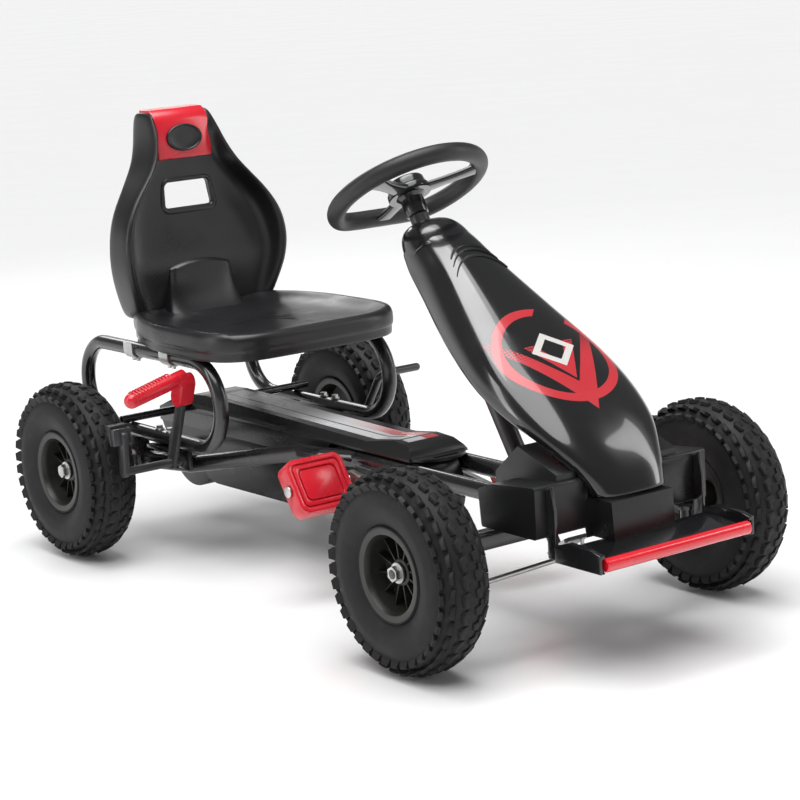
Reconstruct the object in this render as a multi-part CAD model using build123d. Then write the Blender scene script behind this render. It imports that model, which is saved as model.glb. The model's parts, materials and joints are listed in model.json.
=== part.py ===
"""Pedal go kart for a child: steel tube frame, chain drive, moulded seat and cowls.

Frame: +Z up, the kart faces -Y, +X is the driver's left. The origin is on the ground under the
middle of the kart. Millimetres.
"""
from build123d import *
import os
from math import asin, atan2, cos, hypot, pi, radians, sin, sqrt, tan

os.makedirs("parts", exist_ok=True)

# ---- driving dimensions -------------------------------------------------------------------
wheelbase = 820.0
track = 500.0               # between the middles of the tyres
tyre_d = 260.0
tyre_w = 85.0
rear_axle_y = 454.0
rail_z = 172.0              # main rails, alongside the crank
rail_x = 44.0
rail_r = 12.5
tube_wall = 1.5
hoop_x = 148.0              # seat hoops
hoop_low_z = 172.0
hoop_high_z = 297.0
hoop_front_y = 265.5        # centre of the front bend
hoop_rear_y = 518.5         # centre of the rear bend
hoop_r = 11.0
cross_r = 6.0               # cross tube over the rear axle
axle_r = 8.0
stub_r = 6.0                # front stub axles
crank_arm = 76.0
crank_rest_deg = 8.5        # right arm at rest, up from straight back
crank_z = 140.0
chain_pitch = 12.7
roller_r = 3.9
chain_links = 102
ring_teeth = 24
sprocket_teeth = 16
case_half = 50.0            # chain case, half its width over the top
tray_half = 29.0            # and between the rails
case_wall = 2.5
steer_angle = 58.0          # steering axis, up from level
wheel_centre = (0.0, -69.0, 547.5)
steering_d = 230.0
grip_r = 12.5
rod_r = 8.0                 # steering rod
head_r = 13.0               # head tube
kingpin_x = 170.0
beam_z = 145.0
seat_half = 167.0
seat_front_y = 159.0
seat_rear_y = 506.0
seat_skirt_z = 303.0
seat_rim_z = 346.0
seat_wall = 5.0
bumper_y = -575.0
bumper_z = 147.0
bumper_r = 8.5
bumper_half = 122.0
fin_x = 121.0

# ---- clearances ---------------------------------------------------------------------------
run = 0.05                  # running fit, on the radius
seat_gap = 0.05             # round pieces seated in each other on one body
gap = 0.3                   # between pieces on different bodies
joint_gap = 0.1             # butted faces on one body

# ---- sizes worked out ---------------------------------------------------------------------
tyre_r = tyre_d / 2
half_track = track / 2
wheel_z = tyre_r
front_axle_y = rear_axle_y - wheelbase
ring_r = chain_pitch / (2 * sin(pi / ring_teeth))
sprocket_r = chain_pitch / (2 * sin(pi / sprocket_teeth))
steer = radians(steer_angle)
steer_dir = Vector(0, cos(steer), sin(steer))
SIDES = (1, -1)             # left, right
SIDE_NAME = {1: "left", -1: "right"}
hoop_bend = (hoop_high_z - hoop_low_z) / 2
rearmost = hoop_rear_y + hoop_bend + hoop_r
foremost = bumper_y - bumper_r
middle_y = (rearmost + foremost) / 2    # the origin lies under this point


def save(name, *solids):
    """Writes one sub-part, made of one solid or of several separate ones."""
    placed = [Pos(0, -middle_y, 0) * solid for solid in solids]
    shape = placed[0] if len(placed) == 1 else Compound(children=placed)
    shape.label = name
    export_step(shape, f"parts/{name}.step")


def rod(start, end, radius):
    """A round bar between two points."""
    start, end = Vector(*start), Vector(*end)
    axis = end - start
    return Plane(origin=start, z_dir=axis) * Pos(0, 0, axis.length / 2) * Cylinder(radius, axis.length)


def ring(start, end, outer, inner):
    """A round bar with a through bore."""
    axis = (Vector(*end) - Vector(*start)).normalized()
    return rod(start, end, outer) - rod(Vector(*start) - axis, Vector(*end) + axis, inner)


def hexagon(start, end, radius):
    """A hexagonal bar between two points, for nuts and bolt heads."""
    start, end = Vector(*start), Vector(*end)
    plane = Plane(origin=start, z_dir=end - start)
    return extrude(plane * RegularPolygon(radius, 6), (end - start).length)


def block(x, y, z):
    """A box given by its low and high limits along each axis."""
    size = [high - low for low, high in (x, y, z)]
    middle = [(high + low) / 2 for low, high in (x, y, z)]
    return Pos(*middle) * Box(*size)


def side_face(points):
    """A face in the kart's middle plane, from (y, z) points."""
    return make_face(Polyline(*[(0, y, z) for y, z in points], close=True))


def slab(points, low_x, high_x):
    """A (y, z) outline with a thickness along X."""
    return Pos(low_x, 0, 0) * extrude(side_face(points), high_x - low_x, dir=(1, 0, 0))


def bent_tube(points, bend, radius, wall=tube_wall):
    """A round tube along straight runs joined by bends."""
    path = FilletPolyline(*points, radius=bend)
    start = Plane(origin=path @ 0, z_dir=path % 0)
    outer = sweep(start * Circle(radius), path=path)
    if wall is None:
        return outer
    return outer - sweep(start * Circle(radius - wall), path=path)


def spun(profile, centre, side):
    """A (outboard, radius) profile spun about a wheel's axle."""
    plane = Plane(origin=centre, x_dir=(side, 0, 0), z_dir=(0, -side, 0))
    return revolve(plane * profile, axis=Axis(centre, (1, 0, 0)))


# ---- frame --------------------------------------------------------------------------------
rail_front_y = -392.0
rail_straight_y = 22.0      # rails run straight from the nose to here, then splay
rail_wide_x = 67.0
rail_wide_y = 80.0
rail_drop_y = 124.0         # and drop to the axle carriers from here
carrier_x = 145.0
carrier_y = 24.0            # half the carrier's length
carrier_half_x = 15.0
carrier_z = 18.0
bearing_r = 14.0
rail_end_y = rear_axle_y - carrier_y - joint_gap
rail_bend = 24.0


def rail_points(side):
    """The rail's centreline, from the nose to the axle carrier."""
    return [
        (side * rail_x, rail_front_y, rail_z),
        (side * rail_x, rail_straight_y, rail_z),
        (side * rail_wide_x, rail_wide_y, rail_z),
        (side * (rail_wide_x + 1.5), rail_drop_y, rail_z - 1.5),
        (side * (carrier_x - 17), 330.0, wheel_z + 3),
        (side * (carrier_x - 3), rail_end_y - 28, wheel_z),
        (side * (carrier_x - 3), rail_end_y, wheel_z),
    ]


def rails():
    return [bent_tube(rail_points(side), rail_bend, rail_r) for side in SIDES]


def hoop(side):
    """A closed loop of tube that carries one side of the seat, with a drain hole below."""
    low, high, x = hoop_low_z, hoop_high_z, side * hoop_x
    bend = hoop_bend
    middle = (high + low) / 2
    path = Wire([
        Edge.make_line((x, hoop_front_y, low), (x, hoop_rear_y, low)),
        Edge.make_three_point_arc(
            (x, hoop_rear_y, low), (x, hoop_rear_y + bend, middle), (x, hoop_rear_y, high)),
        Edge.make_line((x, hoop_rear_y, high), (x, hoop_front_y, high)),
        Edge.make_three_point_arc(
            (x, hoop_front_y, high), (x, hoop_front_y - bend, middle), (x, hoop_front_y, low)),
    ])
    start = Plane(origin=(x, hoop_front_y, low), z_dir=(0, 1, 0))
    tube = sweep(start * Circle(hoop_r), path=path)
    tube -= sweep(start * Circle(hoop_r - tube_wall), path=path)
    drain_y = hoop_front_y + 30
    return tube - rod((x, drain_y, low - hoop_r - 1), (x, drain_y, low), 2)


def axle_carrier(side):
    """A block on the rail's end: it holds the axle bearing and carries the hoop's rear."""
    x = side * carrier_x
    body = block((x - carrier_half_x, x + carrier_half_x),
                 (rear_axle_y - carrier_y, rear_axle_y + carrier_y),
                 (wheel_z - carrier_z, wheel_z + carrier_z))
    top = block((x - 8, x + 8), (rear_axle_y - carrier_y, rear_axle_y + carrier_y),
                (wheel_z + carrier_z, hoop_low_z))
    saddle = rod((side * hoop_x, 300, hoop_low_z), (side * hoop_x, 600, hoop_low_z), hoop_r + seat_gap)
    bore = rod((x - 40, rear_axle_y, wheel_z), (x + 40, rear_axle_y, wheel_z), bearing_r + seat_gap)
    return body + top - saddle - bore


def axle_bearing(side):
    x = side * carrier_x
    return ring((x - carrier_half_x, rear_axle_y, wheel_z), (x + carrier_half_x, rear_axle_y, wheel_z),
                bearing_r, axle_r + run)


support_y = (334.0, 392.0)  # hoop supports, where the rails pass below the hoops
support_top = hoop_low_z - hoop_r - joint_gap
support_plate = 5.0


def hoop_support(side):
    """A plate under the hoop on a web that stands on the rail."""
    plate = block(sorted((side * 116, side * 164)), support_y, (support_top - support_plate, support_top))
    web = block(sorted((side * 127, side * 135)), (support_y[0] + 6, support_y[1] - 6),
                (wheel_z, support_top - support_plate))
    rail = bent_tube(rail_points(side), rail_bend, rail_r + seat_gap, None)
    cut = web - rail
    above = sorted(cut.solids(), key=lambda solid: solid.center().Z)[-1]
    return plate + above


bolt_head_r = 5.5
washer_r = 7.0
washer_t = 3.0
head_t = 4.5


def hoop_bolts(side):
    """Bolts down through the hoop's lower leg into the carrier and the support."""
    bolts = []
    for y in (support_y[0] + 14, support_y[1] - 14, rear_axle_y + 18):
        x = side * hoop_x
        top = hoop_low_z + hoop_r
        seat = top - washer_t + 1
        bolts.append(rod((x, y, seat), (x, y, seat + washer_t), washer_r)
                     + hexagon((x, y, seat + washer_t), (x, y, seat + washer_t + head_t), bolt_head_r))
    hoop_skin = rod((side * hoop_x, 250, hoop_low_z), (side * hoop_x, 540, hoop_low_z), hoop_r + seat_gap)
    return [bolt - hoop_skin for bolt in bolts]


cross_z = hoop_low_z + hoop_r + cross_r + joint_gap
cross_end = hoop_x + 20


def cross_tube():
    """A tube across the hoops' lower legs: the chain case hangs on it."""
    return ring((-cross_end, rear_axle_y, cross_z), (cross_end, rear_axle_y, cross_z),
                cross_r, cross_r - tube_wall)


# ---- chain drive --------------------------------------------------------------------------
def chain_span(centres):
    """The lean of the chain's straight runs and their length, for a distance between centres."""
    lean = asin((ring_r - sprocket_r) / centres)
    return lean, centres * cos(lean)


def links_for(centres):
    """How many pitches a tight chain has, for a distance between centres."""
    lean, run_length = chain_span(centres)
    on_ring = (pi + 2 * lean) / (2 * pi / ring_teeth)
    on_sprocket = (pi - 2 * lean) / (2 * pi / sprocket_teeth)
    return 2 * run_length / chain_pitch + on_ring + on_sprocket


def chain_centres():
    """The distance between centres that takes a whole number of links."""
    low, high = 300.0, 900.0
    for _ in range(60):
        middle = (low + high) / 2
        if links_for(middle) < chain_links:
            low = middle
        else:
            high = middle
    return (low + high) / 2


centres = chain_centres()
drive_rise = crank_z - wheel_z
crank_y = rear_axle_y - sqrt(centres**2 - drive_rise**2)
drive_lean, straight_run = chain_span(centres)
# the line from the rear axle to the crank, as an angle in the (y, z) plane
drive_angle = atan2(drive_rise, crank_y - rear_axle_y)


def on_circle(centre, radius, angle):
    return centre[0] + radius * cos(angle), centre[1] + radius * sin(angle)


def roller_points():
    """The chain's rollers, one pitch apart, round the ring, along, round the sprocket and back."""
    ring_c, sprocket_c = (crank_y, crank_z), (rear_axle_y, wheel_z)
    ring_step, sprocket_step = 2 * pi / ring_teeth, 2 * pi / sprocket_teeth
    ring_sweep = pi + 2 * drive_lean
    ring_from = drive_angle - ring_sweep / 2
    sprocket_from = drive_angle + pi - (pi - 2 * drive_lean) / 2
    sprocket_sweep = pi - 2 * drive_lean
    lengths = [ring_sweep / ring_step, straight_run / chain_pitch,
               sprocket_sweep / sprocket_step, straight_run / chain_pitch]
    ring_start = on_circle(ring_c, ring_r, ring_from)
    ring_end = on_circle(ring_c, ring_r, ring_from + ring_sweep)
    sprocket_start = on_circle(sprocket_c, sprocket_r, sprocket_from)
    sprocket_end = on_circle(sprocket_c, sprocket_r, sprocket_from + sprocket_sweep)

    def along(a, b, share):
        return a[0] + (b[0] - a[0]) * share, a[1] + (b[1] - a[1]) * share

    points = []
    for link in range(chain_links):
        at = link * sum(lengths) / chain_links
        if at < lengths[0]:
            points.append(on_circle(ring_c, ring_r, ring_from + at * ring_step))
            continue
        at -= lengths[0]
        if at < lengths[1]:
            points.append(along(ring_end, sprocket_start, at / lengths[1]))
            continue
        at -= lengths[1]
        if at < lengths[2]:
            points.append(on_circle(sprocket_c, sprocket_r, sprocket_from + at * sprocket_step))
            continue
        points.append(along(sprocket_end, ring_start, (at - lengths[2]) / lengths[3]))
    return points


rollers = roller_points()
plate_t = 1.0
inner_x = 2.6               # inside face of the inner plates
pin_r = 1.7
plate_r = 4.9


def plate_pair(low_x, bore):
    """Two link plates, mirrored about the chain's middle plane."""
    half = chain_pitch / 2
    outline = SlotCenterToCenter(chain_pitch, 2 * plate_r)
    if bore:
        outline -= [Pos(x, 0) * Circle(pin_r + seat_gap) for x in (-half, half)]
    flat = extrude(outline, plate_t)
    return [Pos(0, 0, low_x) * flat, Pos(0, 0, -low_x - plate_t) * flat]


def inner_link():
    """Two plates on bored rollers, along its own X, with its rollers along Z."""
    half = chain_pitch / 2
    link = plate_pair(inner_x, True)[0] + plate_pair(inner_x, True)[1]
    for x in (-half, half):
        barrel = Cylinder(roller_r, 2 * inner_x) - Cylinder(pin_r + seat_gap, 2 * inner_x + 1)
        link += Pos(x, 0, 0) * barrel
    return link


def outer_link():
    """Two plates on pins, which run through the rollers."""
    low_x = inner_x + plate_t + 0.15
    link = plate_pair(low_x, False)[0] + plate_pair(low_x, False)[1]
    for x in (-chain_pitch / 2, chain_pitch / 2):
        link += Pos(x, 0, 0) * Cylinder(pin_r, 2 * low_x + plate_t)
    return link


def chain():
    kinds = (inner_link(), outer_link())
    links = []
    for index, (y, z) in enumerate(rollers):
        next_y, next_z = rollers[(index + 1) % chain_links]
        place = Plane(origin=(0, (y + next_y) / 2, (z + next_z) / 2),
                      x_dir=(0, next_y - y, next_z - z), z_dir=(1, 0, 0))
        links.append(place * kinds[index % 2])
    return links


tooth_depth = 1.8           # the teeth are cut short, under rollers that stand still


def toothed(centre, radius, teeth, bore):
    """A chain wheel whose short teeth run free inside the one-piece chain."""
    near = min(rollers, key=lambda p: abs(hypot(p[0] - centre[0], p[1] - centre[1]) - radius)
               + 1e-3 * abs(p[1] - centre[1]))
    phase = atan2(near[1] - centre[1], near[0] - centre[0])
    plane = Plane(origin=(0, *centre), x_dir=(0, 1, 0), z_dir=(1, 0, 0))
    outline = Circle(radius - roller_r - gap) - Circle(bore)
    for tooth in range(teeth):
        y, z = on_circle((0, 0), radius, phase + 2 * pi * tooth / teeth)
        outline -= Pos(y, z) * Circle(roller_r + gap + tooth_depth)
    disc = plane * outline
    return extrude(disc, 2, both=True)


def chain_ring():
    centre = (crank_y, crank_z)
    wheel = toothed(centre, ring_r, ring_teeth, axle_r + seat_gap)
    hub = ring((-12, *centre), (12, *centre), 15, axle_r + seat_gap)
    for index in range(5):
        y, z = on_circle(centre, 29, 2 * pi * index / 5)
        wheel -= rod((-5, y, z), (5, y, z), 7.5)
    return wheel + hub


def axle_sprocket():
    centre = (rear_axle_y, wheel_z)
    wheel = toothed(centre, sprocket_r, sprocket_teeth, axle_r + seat_gap)
    return wheel + ring((-14, *centre), (14, *centre), 14, axle_r + seat_gap)


pedal_inner = 78.0
pedal_outer = 170.0
pedal_pin_r = 5.0
arm_t = 10.0
arm_x = 61.0
spindle_end = arm_x + arm_t / 2


def pedal_axis(side):
    angle = radians(crank_rest_deg) + (0 if side < 0 else pi)
    return on_circle((crank_y, crank_z), crank_arm, angle)


def crank():
    """Spindle, two arms and two pedal pins, forged in one."""
    whole = rod((-spindle_end, crank_y, crank_z), (spindle_end, crank_y, crank_z), axle_r)
    for side in SIDES:
        y, z = pedal_axis(side)
        near, far = sorted((side * arm_x, side * (arm_x + arm_t)))
        plane = Plane(origin=(near, (y + crank_y) / 2, (z + crank_z) / 2),
                      x_dir=(0, y - crank_y, z - crank_z), z_dir=(1, 0, 0))
        whole += extrude(plane * SlotCenterToCenter(crank_arm, 22), far - near)
        whole += rod((side * arm_x, y, z), (side * (pedal_outer + 4), y, z), pedal_pin_r)
        whole += rod((side * (pedal_outer + gap), y, z), (side * (pedal_outer + 4), y, z), 8)
    return whole


pedal_len = 78.0            # front to back, along the tread
pedal_t = 26.0
pedal_tilt = 57.0           # the tread at rest, from level


def pedal(side):
    """A moulded block with nested rims on both treads."""
    y, z = pedal_axis(side)
    width = pedal_outer - pedal_inner
    middle = side * (pedal_inner + pedal_outer) / 2
    tilt = radians(pedal_tilt)
    plane = Plane(origin=(middle, y, z), x_dir=(1, 0, 0), z_dir=(0, -sin(tilt), cos(tilt)))
    body = extrude(RectangleRounded(width, pedal_len, 14), pedal_t / 2, both=True)
    for face in (1, -1):
        for inset, depth in ((7, 2.0), (15, 2.5)):
            groove = (RectangleRounded(width - 2 * inset, pedal_len - 2 * inset, 9)
                      - RectangleRounded(width - 2 * inset - 5, pedal_len - 2 * inset - 5, 7))
            height = face * (pedal_t / 2 - depth / 2)
            body -= Pos(0, 0, height - depth) * extrude(groove, 2 * depth)
    block_bore = Plane.YZ * Circle(pedal_pin_r + run)
    body -= extrude(block_bore, width, both=True)
    return plane * body


hanger_x = (35.0, 53.0)
hanger_r = 17.0


def crank_hanger(side):
    """A bearing eye under each rail."""
    near, far = sorted((side * hanger_x[0], side * hanger_x[1]))
    eye = rod((near, crank_y, crank_z), (far, crank_y, crank_z), hanger_r)
    neck = block((near, far), (crank_y - hanger_r, crank_y + hanger_r), (crank_z, rail_z))
    rail = rod((side * rail_x, crank_y - 60, rail_z), (side * rail_x, crank_y + 60, rail_z),
               rail_r + seat_gap)
    neck = sorted((neck - rail).solids(), key=lambda solid: solid.center().Z)[0]
    bore = rod((near - 1, crank_y, crank_z), (far + 1, crank_y, crank_z), axle_r + 4 + seat_gap)
    eye_top = block((near - 1, far + 1), (crank_y - 30, crank_y + 30), (rail_z - rail_r, rail_z + 30))
    return (eye - eye_top) + neck - bore


def crank_bearing(side):
    return ring((side * hanger_x[0], crank_y, crank_z), (side * hanger_x[1], crank_y, crank_z),
                axle_r + 4, axle_r + run)


# ---- chain case ---------------------------------------------------------------------------
seam_rear_z = 158.0
seam_front_z = rail_z + rail_r + 2.5
seam_step = (82.0, 104.0)    # the seam drops to the rear level between these
case_top_z = 208.0
rear_lobe_r = 64.0
front_lobe_r = ring_r + plate_r + case_wall + 2.4
hood_y = rear_axle_y + 87
flange_front_y = crank_y - 68


def cover_outline(inset=0.0):
    """The cover's side outline, or the same drawn inside its wall."""
    i = inset
    front = crank_y - 40 + i
    return [
        (front, seam_front_z), (front + 4, seam_front_z + 9), (front + 17, case_top_z - 3 - i),
        (front + 50, case_top_z - i), (front + 78, case_top_z - 4 - i), (front + 108, case_top_z - 8 - i),
        (rear_axle_y - 30, case_top_z - i), (rear_axle_y + 4, case_top_z - 2 - i),
        (rear_axle_y + 20, case_top_z - 11 - i), (rear_axle_y + 50, case_top_z - 14 - i),
        (hood_y - i, case_top_z - 29 - i), (hood_y - i, seam_rear_z),
        (seam_step[1], seam_rear_z), (seam_step[0], seam_front_z),
    ]


def chain_cover():
    """The upper shell, open below, with a flange that sits on the rails in front."""
    bevel = 14.0
    outer = slab(cover_outline(), -case_half, case_half)
    sloped = extrude(
        Plane.XZ.offset(200) * make_face(Polyline(
            (-case_half, 100), (-case_half, case_top_z - bevel - 4), (-case_half + bevel, case_top_z + 1),
            (case_half - bevel, case_top_z + 1), (case_half, case_top_z - bevel - 4), (case_half, 100),
            close=True)), -900)
    outer = outer & sloped
    inner = slab(cover_outline(case_wall), -case_half + case_wall, case_half - case_wall)
    inner_sloped = extrude(
        Plane.XZ.offset(200) * make_face(Polyline(
            (-case_half + case_wall, 100), (-case_half + case_wall, case_top_z - bevel - 5),
            (-case_half + bevel + 1, case_top_z - case_wall),
            (case_half - bevel - 1, case_top_z - case_wall),
            (case_half - case_wall, case_top_z - bevel - 5), (case_half - case_wall, 100),
            close=True)), -900)
    inner = inner & inner_sloped
    shell = outer - inner - Pos(0, 0, -case_wall) * inner
    flange = extrude(Pos(0, crank_y - 18, seam_front_z) * SlotCenterToCenter(0.1, 2 * case_half), 4)
    flange &= block((-case_half, case_half), (flange_front_y - 10, crank_y - 36), (180, 200))
    slot = Pos(0, flange_front_y + 12, seam_front_z - 1) * extrude(SlotOverall(44, 8), 8)
    shell += flange - slot
    cross = rod((-200, rear_axle_y, cross_z), (200, rear_axle_y, cross_z), cross_r + gap)
    return shell - cross


def tray_outline(inset=0.0):
    """The tray as seen from the side: two round ends and a flat bottom between them."""
    i = inset
    low_front = crank_z - front_lobe_r + i
    neck_y = rear_axle_y - 63
    front = Pos(crank_y, crank_z) * Circle(front_lobe_r - i)
    rear = Pos(rear_axle_y, wheel_z) * Circle(rear_lobe_r - i)
    middle = make_face(Polyline(
        (crank_y, low_front), (neck_y, wheel_z - 52 + i), (rear_axle_y, wheel_z - 40),
        (rear_axle_y + 70 - i, wheel_z), (hood_y - i, seam_rear_z), (hood_y - i, 220), (crank_y, 220),
        close=True))
    return front + rear + middle


def tray_plan(inset=0.0):
    """The tray from above: narrow between the rails, wide behind them."""
    narrow, wide = tray_half - inset, case_half - 2 - inset
    near, far = -300, 800
    half = [(narrow, near), (narrow, seam_step[0]), (wide, 112), (wide, far)]
    return make_face(Polyline(*half, *[(-x, y) for x, y in reversed(half)], close=True))


def tray_block(inset, drop):
    """The tray's solid, its top cut to the seam."""
    side = Plane(origin=(-60, 0, 0), x_dir=(0, 1, 0), z_dir=(1, 0, 0)) * tray_outline(inset)
    body = extrude(side, 120) & extrude(tray_plan(inset), 300)
    top = slab([(-300, seam_front_z - drop), (seam_step[0], seam_front_z - drop),
                (seam_step[1], seam_rear_z - drop), (800, seam_rear_z - drop), (800, 400), (-300, 400)],
               -70, 70)
    return body - top


def chain_tray():
    """The lower shell, open above, with clearance holes for the axle and the crank."""
    shell = tray_block(0, joint_gap) - tray_block(case_wall, -20)
    shell -= rod((-80, rear_axle_y, wheel_z), (80, rear_axle_y, wheel_z), axle_r + 3)
    shell -= rod((-80, crank_y, crank_z), (80, crank_y, crank_z), axle_r + 3)
    return max(shell.solids(), key=lambda solid: solid.volume)


# ---- steering -----------------------------------------------------------------------------
def on_steering(distance, x=0.0, ahead=0.0):
    """A point a distance down the steering axis, and ahead of it square to the axis."""
    centre = Vector(*wheel_centre)
    forward = Vector(0, -sin(steer), cos(steer))
    return centre - steer_dir * distance + forward * ahead + Vector(x, 0, 0)


head_top = 40.0             # distances down the steering axis
head_bottom = 442.0
pitman_at = 528.0
pitman_reach = 30.0
ball_drop = 17.0
ball_r = 4.0
ball_x = 12.0


def head_tube():
    """The tube that holds the steering rod, with a foot plate between the rails."""
    tube = rod(on_steering(head_top), on_steering(head_bottom), head_r)
    foot = on_steering(head_bottom)
    half = rail_x - rail_r - joint_gap
    plate = block((-half, half), (foot.Y - 34, foot.Y + 40), (rail_z - 6, rail_z + 6))
    bore = rod(on_steering(head_top - 5), on_steering(head_bottom + 60), rod_r + 3)
    return tube + plate - bore


def column_bush(at):
    return ring(on_steering(at), on_steering(at + 14), rod_r + 3 - seat_gap, rod_r + run)


def steering_rod():
    return rod(on_steering(-12), on_steering(pitman_at + 5), rod_r)


def pitman():
    """A plate on the rod's lower end with a ball stud for each tie rod."""
    plane = Plane(origin=on_steering(pitman_at), x_dir=(1, 0, 0), z_dir=steer_dir)
    stud_reach = pitman_reach + ball_drop / tan(steer)
    outline = make_hull(Circle(14).edges() + (Pos(0, -stud_reach) * RectangleRounded(38, 12, 5)).edges())
    plate = plane * extrude(outline, 2.5, both=True)
    plate -= rod(on_steering(pitman_at - 9), on_steering(pitman_at + 9), rod_r + seat_gap)
    for side in SIDES:
        top = on_steering(pitman_at, side * ball_x, stud_reach)
        ball = on_steering(pitman_at + ball_drop, side * ball_x, pitman_reach)
        plate += rod(top, ball, 2.5)
        plate += Pos(*ball) * Sphere(ball_r)
    return plate


def steering_grip():
    """The rim, round with a flat towards the driver."""
    big = steering_d / 2 - grip_r
    flat = big * 0.78
    plane = Plane(origin=wheel_centre, x_dir=(1, 0, 0), z_dir=steer_dir)
    half = sqrt(big**2 - flat**2)
    path = Wire([
        Edge.make_three_point_arc((half, flat, 0), (0, -big, 0), (-half, flat, 0)),
        Edge.make_line((-half, flat, 0), (half, flat, 0)),
    ])
    path = path.fillet_2d(34, path.vertices())
    start = Plane(origin=path @ 0, z_dir=path % 0)
    return plane * sweep(start * Circle(grip_r), path=path)


def steering_spider():
    """Three spokes and a long boss."""
    plane = Plane(origin=wheel_centre, x_dir=(1, 0, 0), z_dir=steer_dir)
    inner = steering_d / 2 - 2 * grip_r + 5
    hub = Pos(0, 0, -6) * Cylinder(30, 10)
    boss = Pos(0, 0, -head_top / 2 - 0.5) * Cylinder(15, head_top - 4)
    whole = hub + boss
    for angle, reach in ((90, inner * 0.84), (210, inner), (330, inner)):
        whole += Rot(0, 0, angle) * Pos(reach / 2, 0, -5) * Box(reach, 26, 8)
    whole -= Pos(0, 0, -20) * Cylinder(rod_r + seat_gap, 80)
    rim = steering_grip()
    return plane * whole - rim


def steering_cap():
    plane = Plane(origin=wheel_centre, x_dir=(1, 0, 0), z_dir=steer_dir)
    cap = Pos(0, 0, 6.5) * Cylinder(27, 15 - 2 * joint_gap)
    cap = fillet(cap.edges().group_by(Axis.Z)[-1], 5)
    return plane * (cap - Cylinder(rod_r + 2, 26))


# ---- front axle ---------------------------------------------------------------------------
beam_y = front_axle_y - 2
beam_half_z = 11.0
boss_r = 12.0
kingpin_r = 5.0
yoke_t = 5.0
arm_reach = 34.0


tie_z = on_steering(pitman_at + ball_drop, 0, pitman_reach).Z
eye_half = 4.0
eye_clear = 2.2             # round the pitman's balls, which swing on another axis


def front_beam():
    """A square tube under the rails with an upright boss at each end."""
    half_y = 10.0
    top = rail_z - rail_r - joint_gap
    beam = block((-kingpin_x, kingpin_x), (beam_y - half_y, beam_y + half_y),
                 (beam_z - beam_half_z, beam_z + beam_half_z))
    beam -= block((-kingpin_x - 1, kingpin_x + 1), (beam_y - half_y + 2, beam_y + half_y - 2),
                  (beam_z - beam_half_z + 2, beam_z + beam_half_z - 2))
    for side in SIDES:
        beam += block(sorted((side * (rail_x - 10), side * (rail_x + 10))), (beam_y - half_y, beam_y + half_y),
                      (beam_z + beam_half_z, top))
        x = side * kingpin_x
        beam += rod((x, front_axle_y, beam_z - beam_half_z), (x, front_axle_y, beam_z + beam_half_z), boss_r)
    for side in SIDES:
        x = side * kingpin_x
        beam -= rod((x, front_axle_y, 0), (x, front_axle_y, 300), kingpin_r + seat_gap)
    return beam


def kingpin(side):
    x = side * kingpin_x
    low = beam_z - beam_half_z - yoke_t - 2 * gap
    high = beam_z + beam_half_z + yoke_t + 2 * gap
    return (rod((x, front_axle_y, low - 5), (x, front_axle_y, high + 2), kingpin_r)
            + hexagon((x, front_axle_y, high), (x, front_axle_y, high + 6), 9)
            + hexagon((x, front_axle_y, low - 6), (x, front_axle_y, low), 9))


stub_end = half_track + 27


def knuckle(side):
    """A yoke round the beam's boss with the stub axle and the steering arm."""
    x = side * kingpin_x
    low = beam_z - beam_half_z - gap
    high = beam_z + beam_half_z + gap
    back = kingpin_x + boss_r + 3
    arm_y = front_axle_y - arm_reach
    body = None
    for bottom in (low - yoke_t, high):
        tongue = (rod((x, front_axle_y, bottom), (x, front_axle_y, bottom + yoke_t), boss_r)
                  + block(sorted((x, side * (back + 3))), (front_axle_y - boss_r, front_axle_y + boss_r),
                          (bottom, bottom + yoke_t)))
        body = tongue if body is None else body + tongue
    body += block(sorted((side * back, side * (back + 6))), (front_axle_y - boss_r, front_axle_y + boss_r),
                  (wheel_z - 13, high + yoke_t))
    body += rod((side * (back + 3), front_axle_y, wheel_z), (side * stub_end, front_axle_y, wheel_z), stub_r)
    body += rod((side * (back + 3), front_axle_y, wheel_z),
                (side * (half_track - rim_half - 4), front_axle_y, wheel_z), stub_r + 4)
    body += block(sorted((x, x + side * 12)), (arm_y, front_axle_y), (low - yoke_t, low))
    body += rod((x + side * 6, arm_y, low - yoke_t), (x + side * 6, arm_y, low), 9)
    stud_x = x + side * 6
    body += rod((stud_x, arm_y, tie_z - 11), (stud_x, arm_y, low), 4)
    body += rod((stud_x, arm_y, tie_z + eye_half + gap), (stud_x, arm_y, low - 1), 7)
    body += hexagon((stud_x, arm_y, tie_z - 11), (stud_x, arm_y, tie_z - eye_half - gap), 7.5)
    return body - rod((x, front_axle_y, 0), (x, front_axle_y, 300), kingpin_r + run)


def tie_rod(side):
    """A rod with an eye on the knuckle's stud and a loose eye round the pitman's ball."""
    stud = Vector(side * (kingpin_x + 6), front_axle_y - arm_reach, tie_z)
    ball = on_steering(pitman_at + ball_drop, side * ball_x, pitman_reach)
    inner = Vector(ball.X, ball.Y, tie_z)
    whole = rod(stud, inner, 3.5)
    for centre, radius in ((stud, 9.0), (inner, ball_r + eye_clear + 3)):
        up = Vector(0, 0, eye_half)
        whole += rod(centre - up, centre + up, radius)
    up = Vector(0, 0, 20)
    whole -= rod(stud - up, stud + up, 4 + run)
    return whole - rod(inner - up, inner + up, ball_r + eye_clear)


# ---- wheels -------------------------------------------------------------------------------
rim_half = 33.0             # wheel centre to the outside of the flange
flange_r = 61.0
bead_r = 50.8
barrel_t = 3.3
rim_hub_r = 17.0
hub_in = -30.0              # hub's inboard and outboard ends, from the tyre's middle
hub_out = 14.0
bush_wall = 3.0
rib_count = 10


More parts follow.
